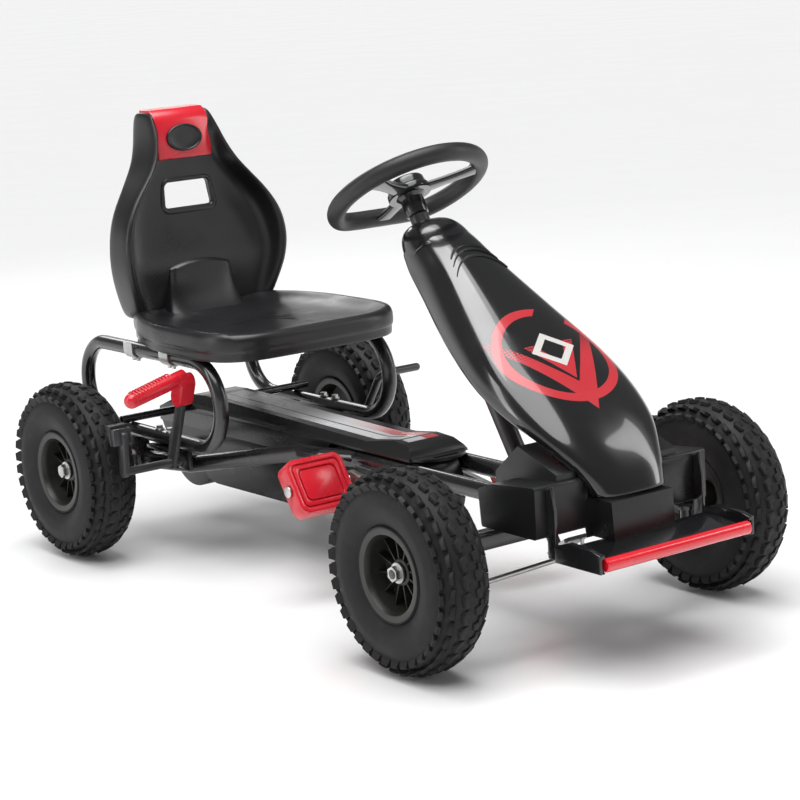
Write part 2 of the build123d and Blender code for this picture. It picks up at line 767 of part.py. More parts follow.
def tyre(centre, side):
    """A hollow ring that seats on the rim's barrel between its flanges."""
    half = tyre_w / 2
    core = tyre_r - half
    outer = Pos(0, core) * Circle(half)
    inner = Pos(0, core) * Circle(half - 7)
    section = outer - inner
    section -= Rectangle(200, 2 * (bead_r + seat_gap))
    for end in (1, -1):
        section -= Pos(end * (rim_half - 1 + 20), 0) * Rectangle(45, 2 * (flange_r + seat_gap))
    section -= Pos(0, -tyre_r) * Rectangle(300, 2 * tyre_r)
    section = max(section.faces(), key=lambda face: face.area)
    return spun(section, centre, side)


def rim(centre, side, bore):
    """A moulded rim: barrel, two flanges, dished web with ribs, and hub."""
    def strip(low, high, inner, outer):
        return Pos((low + high) / 2, (inner + outer) / 2) * Rectangle(high - low, outer - inner)
    lip = 3.0
    profile = (strip(-rim_half + lip / 2, rim_half - lip / 2, bead_r - barrel_t, bead_r)
               + strip(rim_half - 3.4, rim_half - 0.4, bead_r - barrel_t, flange_r)
               + strip(-rim_half + 0.4, -rim_half + 3.4, bead_r - barrel_t, flange_r)
               + strip(-2, 2, rim_hub_r - 1, bead_r - 1)
               + strip(hub_in, hub_out, bore + seat_gap, rim_hub_r))
    whole = spun(profile, centre, side)
    rib = Pos(side * 5, 0, (rim_hub_r + bead_r - 2) / 2) * Box(8, 3, bead_r - rim_hub_r - 1)
    for index in range(rib_count):
        whole += Pos(*centre) * Rot(360 * index / rib_count, 0, 0) * rib
    return whole


def hub_bushes(centre, side, bore, shaft):
    """Two flanged bushes pressed into the hub's ends."""
    x, y, z = centre
    ends = []
    for start, inward in ((hub_out, -1), (hub_in, 1)):
        at = x + side * start
        ends.append(ring((at + side * inward * 12, y, z), (at - side * inward * seat_gap, y, z), bore, shaft + run)
                    + ring((at - side * inward * seat_gap, y, z), (at - side * inward * 2, y, z),
                           bore + 4, shaft + run))
    return ends


def wheel_nut(centre, side, shaft):
    """A washer and a nut on the shaft's end."""
    x, y, z = centre
    face = x + side * (hub_out + 2 + gap)
    washer = ring((face, y, z), (face + side * 2, y, z), 13, shaft + seat_gap)
    nut = hexagon((face + side * 2, y, z), (face + side * 10, y, z), 10)
    nut -= rod((face, y, z), (face + side * 20, y, z), shaft + seat_gap)
    return washer + nut


def rear_axle():
    """A shaft right across, with a collar inside each wheel."""
    end = half_track + 27
    shaft = rod((-end, rear_axle_y, wheel_z), (end, rear_axle_y, wheel_z), axle_r)
    for side in SIDES:
        start = side * (carrier_x + carrier_half_x + 1)
        stop = side * (half_track + hub_in - 2 - gap)
        shaft += rod((start, rear_axle_y, wheel_z), (stop, rear_axle_y, wheel_z), axle_r + 4)
    return shaft


# ---- brake and shift lever ----------------------------------------------------------------
lever_y = 312.0
lever_z = 146.0
lever_x = 170.0
ear_x = (144.5, 150.5)
lever_top = {"brake": (262.0, 271.0), "shift": (256.0, 229.0)}
shoe_x = 250.0
shoe_rise = 52.0
shoe_gap = 14.0
shoe_back = lever_y + 7     # the shoe's plate, on the arm's rear
brake_bar_w = 18.0
brake_bar_t = 6.0
brake_rod_r = 6.0
brake_grip_r = 11.0
grip_skirt = 24.0           # how far the grip runs down the bar


def lever_ear(side):
    """A plate hung from the hoop's lower leg, with the lever's pivot hole."""
    near, far = sorted((side * ear_x[0], side * ear_x[1]))
    ear = block((near, far), (lever_y - 15, lever_y + 15), (lever_z - 14, hoop_low_z))
    leg = rod((side * hoop_x, 200, hoop_low_z), (side * hoop_x, 500, hoop_low_z), hoop_r + seat_gap)
    hole = rod((near - 2, lever_y, lever_z), (far + 2, lever_y, lever_z), 6 + run)
    ear = min((ear - leg).solids(), key=lambda solid: solid.center().Z)
    return ear - hole


def lever_shaft(side, inner, outer):
    start = side * inner
    return (rod((start, lever_y, lever_z), (side * outer, lever_y, lever_z), 6)
            + rod((side * (ear_x[1] + gap), lever_y, lever_z),
                  (side * (ear_x[1] + gap + 5), lever_y, lever_z), 10)
            + rod((start, lever_y, lever_z), (side * (ear_x[0] - gap), lever_y, lever_z), 9))


def lever_bar(side, top, width, thick):
    """A flat bar from the pivot up and forward."""
    y, z = top
    length = hypot(y - lever_y, z - lever_z)
    plane = Plane(origin=(side * lever_x - thick / 2, (y + lever_y) / 2, (z + lever_z) / 2),
                  x_dir=(0, y - lever_y, z - lever_z), z_dir=(1, 0, 0))
    return extrude(plane * SlotCenterToCenter(length, width), thick)


def brake_crook():
    """The round bar that the lever's top bends into, outboard, as centreline points."""
    y, z = lever_top["brake"]
    return [(-lever_x, y + 3, z - 8), (-lever_x, y, z + 4), (-lever_x - 12, y - 1, z + 6),
            (-lever_x - 88, y - 10, z - 9)]


def brake_bar(grow=0.0):
    """The flat bar and its crooked top, or the same drawn larger."""
    bar = lever_bar(-1, lever_top["brake"], brake_bar_w + 2 * grow, brake_bar_t + 2 * grow)
    points = brake_crook()
    for start, end in zip(points, points[1:]):
        bar += rod(start, end, brake_rod_r + grow) + Pos(*start) * Sphere(brake_rod_r + grow)
    return bar


def brake_lever():
    """Bar, gusset, cross shaft and the arm that carries the shoe."""
    whole = lever_shaft(-1, ear_x[0] - 4, shoe_x + 2) + brake_bar()
    whole += slab([(lever_y - 7, lever_z - 8), (lever_y + 8, lever_z), (lever_y - 4, lever_z + 44),
                   (lever_y - 22, lever_z + 52), (lever_y - 26, lever_z + 46)],
                  -lever_x - brake_bar_t / 2, -lever_x + brake_bar_t / 2)
    arm_top = (lever_y - 4, lever_z + shoe_rise)
    plane = Plane(origin=(-shoe_x - 4, (lever_y + arm_top[0]) / 2, (lever_z + arm_top[1]) / 2),
                  x_dir=(0, arm_top[0] - lever_y, arm_top[1] - lever_z), z_dir=(1, 0, 0))
    whole += extrude(plane * SlotCenterToCenter(shoe_rise, 16), 8)
    return whole + block((-shoe_x - 14, -shoe_x + 14), (arm_top[0] + 2, shoe_back),
                         (arm_top[1] - 12, arm_top[1] + 12))


def brake_shoe():
    """A rubber-faced block on the arm, its face shaped to the tyre."""
    z = lever_z + shoe_rise
    shoe = block((-shoe_x - 15, -shoe_x + 15), (shoe_back + joint_gap, shoe_back + 14), (z - 13, z + 16))
    tread = rod((-shoe_x - 30, rear_axle_y, wheel_z), (-shoe_x + 30, rear_axle_y, wheel_z), tyre_r + shoe_gap)
    return shoe - tread


def brake_grip():
    """A soft sleeve over the lever's crooked end and the top of its bar."""
    start, end = (Vector(*point) for point in brake_crook()[2:])
    axis = (end - start).normalized()
    last = end + axis * 6
    sleeve = rod(start - axis * 12, last, brake_grip_r) + Pos(*last) * Sphere(brake_grip_r)
    y, z = lever_top["brake"]
    down = Vector(0, lever_y - y, lever_z - z).normalized()
    top, foot = Vector(-lever_x, y, z), Vector(-lever_x, y, z) + down * grip_skirt
    middle = (top + foot) * 0.5
    plane = Plane(origin=middle - Vector(brake_grip_r, 0, 0), x_dir=-down, z_dir=(1, 0, 0))
    boot = extrude(plane * SlotCenterToCenter(grip_skirt, brake_bar_w + 8), 2 * brake_grip_r)
    grip = sleeve + boot - brake_bar(seat_gap) - rod(start, end + axis * seat_gap, brake_rod_r + seat_gap)
    return max(grip.solids(), key=lambda solid: solid.volume)


def shift_lever():
    """A round bar on the left, bent outboard to a round end, with a finger into the drive."""
    side = 1
    y, z = lever_top["shift"]
    whole = lever_shaft(side, ear_x[0] - 4, lever_x + 6)
    whole += bent_tube([(side * lever_x, lever_y, lever_z), (side * lever_x, y, z),
                        (side * (lever_x + 68), y, z)], 14, 6, None)
    return whole + Pos(side * (lever_x + 68), y, z) * Sphere(6)


# ---- cowls --------------------------------------------------------------------------------
# each station: crown (y, z), lower edge (y, z), half width
bonnet_stations = [
    ((-150, 503), (-111, 470), 46),
    ((-176, 489), (-131, 447), 52),
    ((-214, 463), (-166, 419), 60),
    ((-285, 414), (-240, 368), 82),
    ((-356, 365), (-320, 323), 100),
    ((-410, 326), (-383, 292), 100),
    ((-456, 284), (-436, 264), 88),
    ((-493, 240), (-468, 232), 68),
    ((-511, 205), (-484, 205), 55),
]
bonnet_wall = 3.0


def bonnet_section(station, inset=0.0, extra=0.0):
    """An arch across the bonnet: flat sides below a crowned top."""
    (crown_y, crown_z), (edge_y, edge_z), half = station
    depth = hypot(crown_y - edge_y, crown_z - edge_z)
    up = Vector(0, (crown_y - edge_y) / depth, (crown_z - edge_z) / depth)
    foot = Vector(0, edge_y, edge_z)
    half -= inset
    shoulder = max(depth - half * 0.5, depth * 0.3)
    depth -= inset

    def at(x, height):
        return foot + up * height + Vector(x, 0, 0)
    corners = [at(-half, -extra), at(-half, shoulder - inset), at(-half * 0.62, depth - half * 0.13),
               at(0, depth), at(half * 0.62, depth - half * 0.13), at(half, shoulder - inset), at(half, -extra)]
    crown = Spline(*corners[1:6])
    wire = Wire([Edge.make_line(corners[0], corners[1]), crown.edge(), Edge.make_line(corners[5], corners[6]),
                 Edge.make_line(corners[6], corners[0])])
    return Face(wire)


def bonnet():
    """The long cowl, a shell open below, closed at its upper end round the head tube."""
    outer = loft([bonnet_section(station) for station in bonnet_stations], ruled=True)
    inner = loft([bonnet_section(station, bonnet_wall, 4) for station in bonnet_stations], ruled=True)
    top = Plane(origin=on_steering(72), z_dir=steer_dir)
    keep_top = top * Pos(0, 0, 100) * Box(300, 300, 200)
    inner -= keep_top
    shell = outer - inner
    shell -= rod(on_steering(20), on_steering(200), head_r + 1)
    return max(shell.solids(), key=lambda solid: solid.volume)


pod_inner = rail_x + rail_r + joint_gap
pod_outer = 140.0
pod_floor = 164.0
pod_front_y = -478.0
fin_front_y = -494.0
deck_top = 152.0


def side_pod(side):
    """A boxy shoulder beside the nose: a low box outboard and a wedge up to the bonnet."""
    low, high = sorted((side * pod_inner, side * pod_outer))
    box = slab([(-372, pod_floor), (-368, 212), (-392, 221), (pod_front_y, 229), (pod_front_y, pod_floor)], low, high)
    box = fillet(box.edges().filter_by(Axis.X), 4)
    near, far = sorted((side * pod_inner, side * 98))
    wedge = slab([(-352, 190), (-352, 224), (-398, 262), (-470, 236), (-470, 190)], near, far)
    return box + wedge


def nose():
    """The moulded nose: two pods, the block under the bonnet's tip and a floor, hollow below."""
    block_half = pod_inner + 4
    foot = deck_top + joint_gap
    centre = slab([(-385, 188), (-385, 232), (-470, 212), (pod_front_y, 200), (pod_front_y, foot), (-470, 188)],
                  -block_half, block_half)
    centre += slab([(pod_front_y, foot), (pod_front_y, 200), (-514, 200), (-518, foot)], -50, 50)
    whole = centre + side_pod(1) + side_pod(-1)
    cut = None
    for side in SIDES:
        low, high = sorted((side * (pod_inner + 2), side * (pod_outer - 3)))
        hollow = slab([(-375, pod_floor - 5), (-375, 210), (-392, 217), (-475, 225), (-475, pod_floor - 5)],
                      low, high)
        cut = hollow if cut is None else cut + hollow
    whole -= cut
    whole -= block((-pod_inner, pod_inner), (-475, -380), (150, rail_z + rail_r + 6))
    whole -= bonnet_void()
    return max(whole.solids(), key=lambda solid: solid.volume)


def bonnet_void():
    """The room the bonnet takes, which the nose stays clear of."""
    return loft([bonnet_section(station, -0.4, 0.4) for station in bonnet_stations], ruled=True)


def fin(side):
    """An upright blade at the pod's front corner."""
    x = side * fin_x
    rear = pod_front_y - joint_gap
    return slab([(rear, 139), (fin_front_y, 139), (fin_front_y, 200), (-488, 230), (rear, 222)],
                x - 2.5, x + 2.5)


def wing():
    """The front deck: a shallow tray with raised ends that holds the bumper bar."""
    ahead = bumper_y + bumper_r + joint_gap
    rear = fin_front_y - 2 * joint_gap
    whole = slab([(rear, 139), (ahead, 138), (ahead, 146), (-520, deck_top), (rear, deck_top)], -118, 118)
    for side in SIDES:
        low, high = sorted((side * 118, side * 126))
        whole += slab([(rear, 137), (bumper_y - 2, 137), (bumper_y - 2, 160), (-560, 164), (-520, 166),
                       (rear, 158)], low, high)
    return whole - rod((-bumper_half, bumper_y, bumper_z), (bumper_half, bumper_y, bumper_z),
                       bumper_r + seat_gap)


def bumper():
    return ring((-bumper_half + 4.3, bumper_y, bumper_z), (bumper_half - 4.3, bumper_y, bumper_z),
                bumper_r, bumper_r - tube_wall)


# ---- seat ---------------------------------------------------------------------------------
channel = (133.0, 162.0)    # the seat's runners pass over the hoops in these
seat_floor = hoop_high_z + hoop_r + gap
dish_depth = 16.0
dish_r = 900.0


def seat_plan(inset=0.0):
    """The seat base from above: tapered front, widest in the middle, narrower at the back."""
    i = inset
    front, rear = seat_front_y + i, seat_rear_y - i
    half = [(0, front - 4), (seat_half - 70 - i, front), (seat_half - 36 - i, front + 8), (seat_half - 2 - i, front + 60),
            (seat_half - i, front + 130), (seat_half - 2 - i, front + 200), (seat_half - 44 - i, rear - 44),
            (seat_half - 52 - i, rear)]
    other = [(-x, y) for x, y in reversed(half[1:])]
    return make_face(Polyline(*half, *other, close=True))


def seat_base():
    """A moulded pan with a skirt, on two runners over the hoops, with a seat for the back."""
    deck = seat_rim_z - seat_skirt_z
    shell = extrude(Pos(0, 0, seat_skirt_z) * seat_plan(), deck)
    shell = chamfer(shell.edges().group_by(Axis.Z)[-1], 4)
    void = extrude(Pos(0, 0, seat_skirt_z - 1) * seat_plan(seat_wall), deck - dish_depth - seat_wall)
    shell -= void
    shell -= Pos(0, 330, seat_rim_z - dish_depth + dish_r) * Sphere(dish_r)
    for side in SIDES:
        low, high = sorted((side * channel[0], side * channel[1]))
        shell += block((low, high), (250, 430), (seat_floor, seat_rim_z - dish_depth - 4))
        shell -= block((low, high), (seat_front_y - 60, seat_rear_y + 60), (seat_skirt_z - 2, seat_floor))
    foot_z = back_levels[0][0] - joint_gap
    shell -= block((-130, 130), (back_levels[0][2] - 8, 600), (foot_z, 400))
    return max(shell.solids(), key=lambda solid: solid.volume)


# each level: height, half width, front and rear of the bolsters, front of the panel, bolster's thickness
back_levels = [
    (331, 120, 458, 516, 478, 16), (364, 131, 449, 511, 477, 16), (387, 139, 443, 506, 475, 16),
    (409, 144, 440, 502, 474, 16), (434, 146, 438, 500, 479, 16), (465, 141, 440, 502, 486, 16),
    (491, 130, 446, 507, 492, 15), (515, 113, 452, 513, 495, 14), (538, 92, 456, 526, 496, 13),
    (559, 75, 461, 536, 496, 12), (583, 64, 469, 545, 497, 10), (603, 59, 478, 550, 499, 9),
    (621, 56, 492, 552, 502, 8), (634, 52, 504, 546, 508, 8),
]
back_t = 12.0


def back_section(level):
    """Two deep bolsters joined by a thin panel, an H from above."""
    z, half, front, rear, panel, side_t = level
    behind = min(panel + back_t, rear - 4)
    right = [(half - side_t, front + 1), (half, front), (half, rear - 8), (half - side_t * 0.5, rear),
             (half - side_t, rear - 3), (half - side_t - 3, behind)]
    points = right + [(-x, y) for x, y in reversed(right)]
    points += [(-half + side_t + 3, panel), (half - side_t - 3, panel)]
    return make_face(Polyline(*[(x, y, z) for x, y in points], close=True))


window = ((484.0, 45.0), (529.0, 40.0))
insert_z = (562.0, 618.0)
insert_half = 47.5


def seat_back():
    """The moulded back: side bolsters, lumbar pad, hand hole and a pocket for the insert."""
    shell = loft([back_section(level) for level in back_levels], ruled=True)
    (low_z, low_half), (high_z, high_half) = window
    hole = make_face(Polyline((-low_half, 0, low_z), (low_half, 0, low_z), (high_half, 0, high_z),
                              (-high_half, 0, high_z), close=True))
    shell -= Pos(0, 380, 0) * extrude(hole, 300, dir=(0, 1, 0))
    pad = slab([(472, 331), (462, 345), (457, 395), (464, 408), (480, 412), (484, 331)], -52, 52)
    shell += pad
    shell -= insert_block(seat_gap)
    return max(shell.solids(), key=lambda solid: solid.volume)


def insert_block(grow=0.0):
    """The coloured headrest insert, which folds over the top edge."""
    g = grow
    return slab([(490 - g, insert_z[0] - g), (495 - g, insert_z[1]), (502 - g, insert_z[1] + 12), (512, 637 + g),
                 (540 + g, 637 + g), (540 + g, 624), (511 + g, 624 - g), (504 + g, insert_z[0] - g)],
                -insert_half - g, insert_half + g)


def badge():
    """A plain oval pad on the insert."""
    lean = Vector(0, -(insert_z[1] - insert_z[0]), 5).normalized()
    centre = Vector(0, 492.7, 593) + lean * joint_gap
    plane = Plane(origin=centre, x_dir=(1, 0, 0), z_dir=lean)
    return plane * extrude(Ellipse(31, 20.5), 4)


def seat_clamp(side, y):
    """A strap round the hoop's underside, bolted up to the runner."""
    x, z = side * hoop_x, hoop_high_z
    strap = ring((x, y - 12, z), (x, y + 12, z), hoop_r + gap + 2.5, hoop_r + gap)
    strap = strap & block((x - 20, x + 20), (y - 12, y + 12), (z - 30, z))
    for wall in (1, -1):
        low, high = sorted((x + wall * (hoop_r + gap), x + wall * (hoop_r + gap + 2.5)))
        strap += block((low, high), (y - 12, y + 12), (z, seat_floor - joint_gap))
    for offset in (-6, 6):
        strap += hexagon((x, y + offset, z - hoop_r - gap - 6), (x, y + offset, z - hoop_r - gap - 1), 3.5)
    return strap


# ---- write every node ---------------------------------------------------------------------
def write_frame():
    save("main_rails", *rails())
    for side in SIDES:
        save(f"seat_hoop_{SIDE_NAME[side]}", hoop(side))
    save("axle_carriers", *[axle_carrier(side) for side in SIDES])
    save("axle_bearings", *[axle_bearing(side) for side in SIDES])
    save("hoop_brackets", *[hoop_support(side) for side in SIDES], *[lever_ear(side) for side in SIDES])
    save("frame_bolts", *[bolt for side in SIDES for bolt in hoop_bolts(side)])
    save("cross_tube", cross_tube())
    save("crank_hangers", *[crank_hanger(side) for side in SIDES])
    save("crank_bearings", *[crank_bearing(side) for side in SIDES])
    save("front_beam", front_beam())
    save("kingpins", *[kingpin(side) for side in SIDES])
    save("head_tube", head_tube())
    save("column_bushes", column_bush(head_top + 2), column_bush(head_bottom - 16))
    save("chain_cover", chain_cover())
    save("chain_tray", chain_tray())
    save("chain", *chain())
    save("bonnet", bonnet())
    save("nose_cowl", nose())
    save("nose_fins", *[fin(side) for side in SIDES])
    save("front_wing", wing())
    save("bumper_bar", bumper())


def write_steering():
    save("steering_grip", steering_grip())
    save("steering_spider", steering_spider())
    save("steering_cap", steering_cap())
    save("steering_rod", steering_rod())
    save("pitman_arm", pitman())
    for side in SIDES:
        save(f"knuckle_{SIDE_NAME[side]}", knuckle(side))
        save(f"tie_rod_{SIDE_NAME[side]}", tie_rod(side))


def write_wheels():
    nuts = {}
    for place, y, shaft in (("front", front_axle_y, stub_r), ("rear", rear_axle_y, axle_r)):
        for side in SIDES:
            name = f"{place}_{SIDE_NAME[side]}"
            centre = (side * half_track, y, wheel_z)
            turns = not (place == "rear" and side == -1)
            bore = shaft + bush_wall if turns else shaft
            save(f"tyre_{name}", tyre(centre, side))
            save(f"rim_{name}", rim(centre, side, bore))
            if turns:
                save(f"hub_bushes_{name}", *hub_bushes(centre, side, bore, shaft))
            nuts[name] = wheel_nut(centre, side, shaft)
    for side in SIDES:
        name = f"front_{SIDE_NAME[side]}"
        save(f"wheel_nut_{name}", nuts[name])
    save("wheel_nuts_rear", nuts["rear_left"], nuts["rear_right"])
    save("rear_axle", rear_axle())


def write_drive():
    save("axle_sprocket", axle_sprocket())
    save("chain_ring", chain_ring())
    save("crank", crank())
    for side in SIDES:
        save(f"pedal_{SIDE_NAME[side]}", pedal(side))


def write_levers():
    save("brake_lever", brake_lever())
    save("brake_grip", brake_grip())
    save("brake_shoe", brake_shoe())
    save("shift_lever", shift_lever())


def write_seat():
    save("seat_base", seat_base())
    save("seat_back", seat_back())
    save("headrest_insert", insert_block())
    save("headrest_badge", badge())
    save("seat_clamps", *[seat_clamp(side, y) for side in SIDES for y in (330, 430)])


write_frame()
write_steering()
write_wheels()
write_drive()
write_levers()
write_seat()
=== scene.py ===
# %% [markdown]
# # A child's pedal go kart, dressed for the camera
# The engineering model already fixes every size and every joint. This lesson loads it, keeps the
# pieces whose shape is right, rebuilds the moulded ones with softer forms, and gives each surface
# a material with its own grain, wear and gloss. Everything is in metres, Z is up and the kart
# faces -Y. Each cell does one job and prints what it made, so it can be read like a notebook.

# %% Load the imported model
import json
import math
import bpy
import bmesh
from mathutils import Matrix, Vector


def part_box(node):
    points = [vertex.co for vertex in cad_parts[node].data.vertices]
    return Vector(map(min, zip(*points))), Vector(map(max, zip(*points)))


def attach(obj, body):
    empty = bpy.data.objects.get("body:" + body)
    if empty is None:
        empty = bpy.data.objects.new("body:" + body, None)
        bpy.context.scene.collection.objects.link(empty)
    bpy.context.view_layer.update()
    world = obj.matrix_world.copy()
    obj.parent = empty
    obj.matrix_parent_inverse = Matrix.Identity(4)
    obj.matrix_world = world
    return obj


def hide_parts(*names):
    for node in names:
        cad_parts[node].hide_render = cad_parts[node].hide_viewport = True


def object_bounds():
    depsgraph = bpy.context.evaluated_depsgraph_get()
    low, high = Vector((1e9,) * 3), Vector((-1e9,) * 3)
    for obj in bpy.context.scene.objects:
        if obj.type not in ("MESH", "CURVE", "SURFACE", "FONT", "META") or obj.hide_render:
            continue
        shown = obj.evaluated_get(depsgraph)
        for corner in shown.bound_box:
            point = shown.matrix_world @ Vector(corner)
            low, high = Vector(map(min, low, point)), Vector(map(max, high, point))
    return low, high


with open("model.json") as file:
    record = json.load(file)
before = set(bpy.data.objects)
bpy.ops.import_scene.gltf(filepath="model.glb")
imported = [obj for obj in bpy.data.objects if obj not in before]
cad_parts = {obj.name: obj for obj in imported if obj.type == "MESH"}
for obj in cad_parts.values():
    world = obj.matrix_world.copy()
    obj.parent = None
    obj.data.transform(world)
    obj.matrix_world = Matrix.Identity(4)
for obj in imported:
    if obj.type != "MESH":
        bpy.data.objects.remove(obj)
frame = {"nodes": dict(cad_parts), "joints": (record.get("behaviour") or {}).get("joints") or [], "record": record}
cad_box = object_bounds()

print("nodes:", len(frame["nodes"]))


# %% [markdown]
# Every place on the kart is read from the frame, never typed in as a loose number. Three small
# helpers do that: the middle of a node's box, its size, and a joint's pivot as the record
# gives it. A piece that is later made around an axle asks for the axle.

# %% Helpers that read the frame
def middle(node):
    low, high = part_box(node)
    return (low + high) / 2


def extent(node):
    low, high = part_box(node)
    return high - low


joints = {joint["name"]: joint for joint in frame["joints"]}


def pivot(name):
    return Vector(joints[name]["pos_m"])


WHEELS = ("front_left", "front_right", "rear_left", "rear_right")
WHEEL_BODY = {"front_left": "wheel_front_left", "front_right": "wheel_front_right",
              "rear_left": "wheel_rear_left", "rear_right": "rear_axle"}
hub = {wheel: middle(f"tyre_{wheel}") for wheel in WHEELS}
tyre_radius = extent("tyre_front_left").z / 2
tyre_half = extent("tyre_front_left").x / 2
print("tyre radius %.3f, half width %.4f" % (tyre_radius, tyre_half))


# %% [markdown]
# Pieces are built as lists of corners and faces. One helper turns such lists into an object whose
# origin stays at the world's, merges doubled corners, and points every face outwards. Smooth
# shading stops at edges sharper than a given angle, as on a real moulding, where a soft curve
# runs up to a crisp parting edge.

# %% Helpers that make a mesh
def shaded(obj, angle=40.0):
    """Smooth shading, with creases where faces meet more sharply than the angle."""
    mesh = obj.data
    mesh.polygons.foreach_set("use_smooth", [True] * len(mesh.polygons))
    mesh.set_sharp_from_angle(angle=math.radians(angle))
    return obj


def turns(count):
    """Evenly spaced angles round a circle."""
    return [2 * math.pi * k / count for k in range(count)]


def between(a, b, c, d, t):
    """A place between b and c on the smooth curve through four values or vectors."""
    square = (2 * a - 5 * b + 4 * c - d) * t**2
    cube = (3 * b - a - 3 * c + d) * t**3
    return 0.5 * (2 * b + (c - a) * t + square + cube)


def linked(name, data):
    """A new object, linked to the scene."""
    obj = bpy.data.objects.new(name, data)
    bpy.context.scene.collection.objects.link(obj)
    return obj


def taken(bm, name):
    """A new mesh with what the bmesh holds, which is then freed."""
    mesh = bpy.data.meshes.new(name)
    bm.to_mesh(mesh)
    bm.free()
    return mesh


def made(name, corners, faces, angle=40.0, outward=True):
    mesh = bpy.data.meshes.new(name)
    mesh.from_pydata([tuple(c) for c in corners], [], faces)
    bm = bmesh.new()
    bm.from_mesh(mesh)
    bmesh.ops.remove_doubles(bm, verts=bm.verts, dist=1e-6)
    if outward:
        bmesh.ops.recalc_face_normals(bm, faces=bm.faces)
    bm.to_mesh(mesh)
    bm.free()
    return shaded(linked(name, mesh), angle)


def loft_faces(rings, count, closed=True):
    """Quads between rings of the same number of corners."""
    faces = []
    steps = count if closed else count - 1
    for ring in range(rings - 1):
        for i in range(steps):
            j = (i + 1) % count
            here, after = ring * count, (ring + 1) * count
            faces.append((here + i, here + j, after + j, after + i))
    return faces


def lofted(name, rings, caps=True, closed_path=False, angle=40.0):
    """A skin over closed rings, capped at both ends or joined back to its start."""
    count = len(rings[0])
    corners = [corner for ring in rings for corner in ring]
    faces = loft_faces(len(rings), count)
    last = (len(rings) - 1) * count
    if closed_path:
        faces += [(last + i, last + (i + 1) % count, (i + 1) % count, i) for i in range(count)]
    elif caps:
        faces.append(tuple(range(count))[::-1])
        faces.append(tuple(last + i for i in range(count)))
    return made(name, corners, faces, angle)


def applied(obj):
    """The object with its modifiers' result as its own plain mesh."""
    bpy.context.view_layer.update()
    graph = bpy.context.evaluated_depsgraph_get()
    mesh = bpy.data.meshes.new_from_object(obj.evaluated_get(graph))
    obj.modifiers.clear()
    obj.data = mesh
    return obj


def subdivided(obj, levels=2):
    smooth = obj.modifiers.new("smooth", "SUBSURF")
    smooth.levels = smooth.render_levels = levels
    return applied(obj)


def walled(sheet, thickness, angle):
    """An open sheet given a wall inwards and a smoother curve."""
    wall = sheet.modifiers.new("wall", "SOLIDIFY")
    wall.thickness, wall.offset = thickness, -1.0
    return shaded(subdivided(sheet, 1), angle)


def joined(name, *pieces):
    """One object from several that stand at the origin."""
    bm = bmesh.new()
    slots = []
    for piece in pieces:
        offset = len(slots)
        slots += [slot.material for slot in piece.material_slots] or [None]
        before = len(bm.faces)
        bm.from_mesh(piece.data)
        bm.faces.ensure_lookup_table()
        for face in bm.faces[before:]:
            face.material_index += offset
        bpy.data.objects.remove(piece)
    mesh = taken(bm, name)
    for material in slots:
        mesh.materials.append(material)
    return linked(name, mesh)


def tris(obj):
    return sum(len(p.vertices) - 2 for p in obj.data.polygons)


# %% [markdown]
# Three ways of making a solid serve most of the kart: a tube along bent runs, a profile spun
# about an axle, and a copy of an engineering piece with its edges rounded. The last one starts
# by welding the copy's loose triangles, because a bevel needs faces that share their edges.

# %% Tube, spin and softened copy
def tube(name, path, radius, sides=28, closed=False, squash=1.0):
    """A skin round a path; radius may be a number or a function of the share of the way along."""
    path = [Vector(p) for p in path]
    count = len(path)
    rings = []
    side = None
    for index, point in enumerate(path):
        ahead = path[(index + 1) % count] if closed or index < count - 1 else point
        behind = path[index - 1] if closed or index > 0 else point
        forward = (ahead - behind).normalized()
        if side is None:
            side = forward.orthogonal().normalized()
        side = (side - forward * side.dot(forward)).normalized()
        up = forward.cross(side)
        r = radius(index / max(count - 1, 1)) if callable(radius) else radius
        rings.append([point + (side * math.cos(a) + up * math.sin(a) * squash) * r for a in turns(sides)])
    return lofted(name, rings, closed_path=closed)


def turned(name, profile, place, steps, angle):
    """A profile of (along, radius) turned about an axis; place gives each corner its point."""
    corners = [place(along, r, a) for a in turns(steps) for along, r in profile]
    faces, count = [], len(profile)
    for step in range(steps):
        here, after = step * count, ((step + 1) % steps) * count
        faces += [(here + i, here + i + 1, after + i + 1, after + i) for i in range(count - 1)]
    return made(name, corners, faces, angle)


def spun(name, profile, centre, side=1, steps=72, angle=35.0):
    """An (outboard, radius) profile turned about an axle along X; a radius of 0 closes it."""
    def place(out, r, a):
        return centre[0] + side * out, centre[1] + r * math.cos(a), centre[2] + r * math.sin(a)
    return turned(name, profile, place, steps, angle)


def welded(node):
    """A copy of an engineering piece with its triangles joined up and its flats merged."""
    bm = bmesh.new()
    bm.from_mesh(frame["nodes"][node].data)
    bmesh.ops.remove_doubles(bm, verts=bm.verts, dist=2e-6)
    bmesh.ops.dissolve_degenerate(bm, dist=1e-6, edges=bm.edges)
    bmesh.ops.dissolve_limit(bm, angle_limit=math.radians(1.0), verts=bm.verts, edges=bm.edges)
    return linked(node + "_soft", taken(bm, node + "_soft"))


def softened(node, width, segments=2, limit=32.0):
    """A welded copy with every crisp edge rounded."""
    obj = welded(node)
    bevel = obj.modifiers.new("round", "BEVEL")
    bevel.width = width
    bevel.segments = segments
    bevel.limit_method = "ANGLE"
    bevel.angle_limit = math.radians(limit)
    bevel.use_clamp_overlap = True
    bevel.miter_outer = "MITER_ARC"
    return shaded(applied(obj), 38)


# %% [markdown]
# # Finishes
# A finish is a small wiring diagram. Writing it as arithmetic keeps it readable, so one class
# wraps a socket and turns each operator into the Math node that works it out, and another holds
# the material and makes every other node through a single method. Colours are mixed with Mix
# nodes, because a Math node would turn them grey.

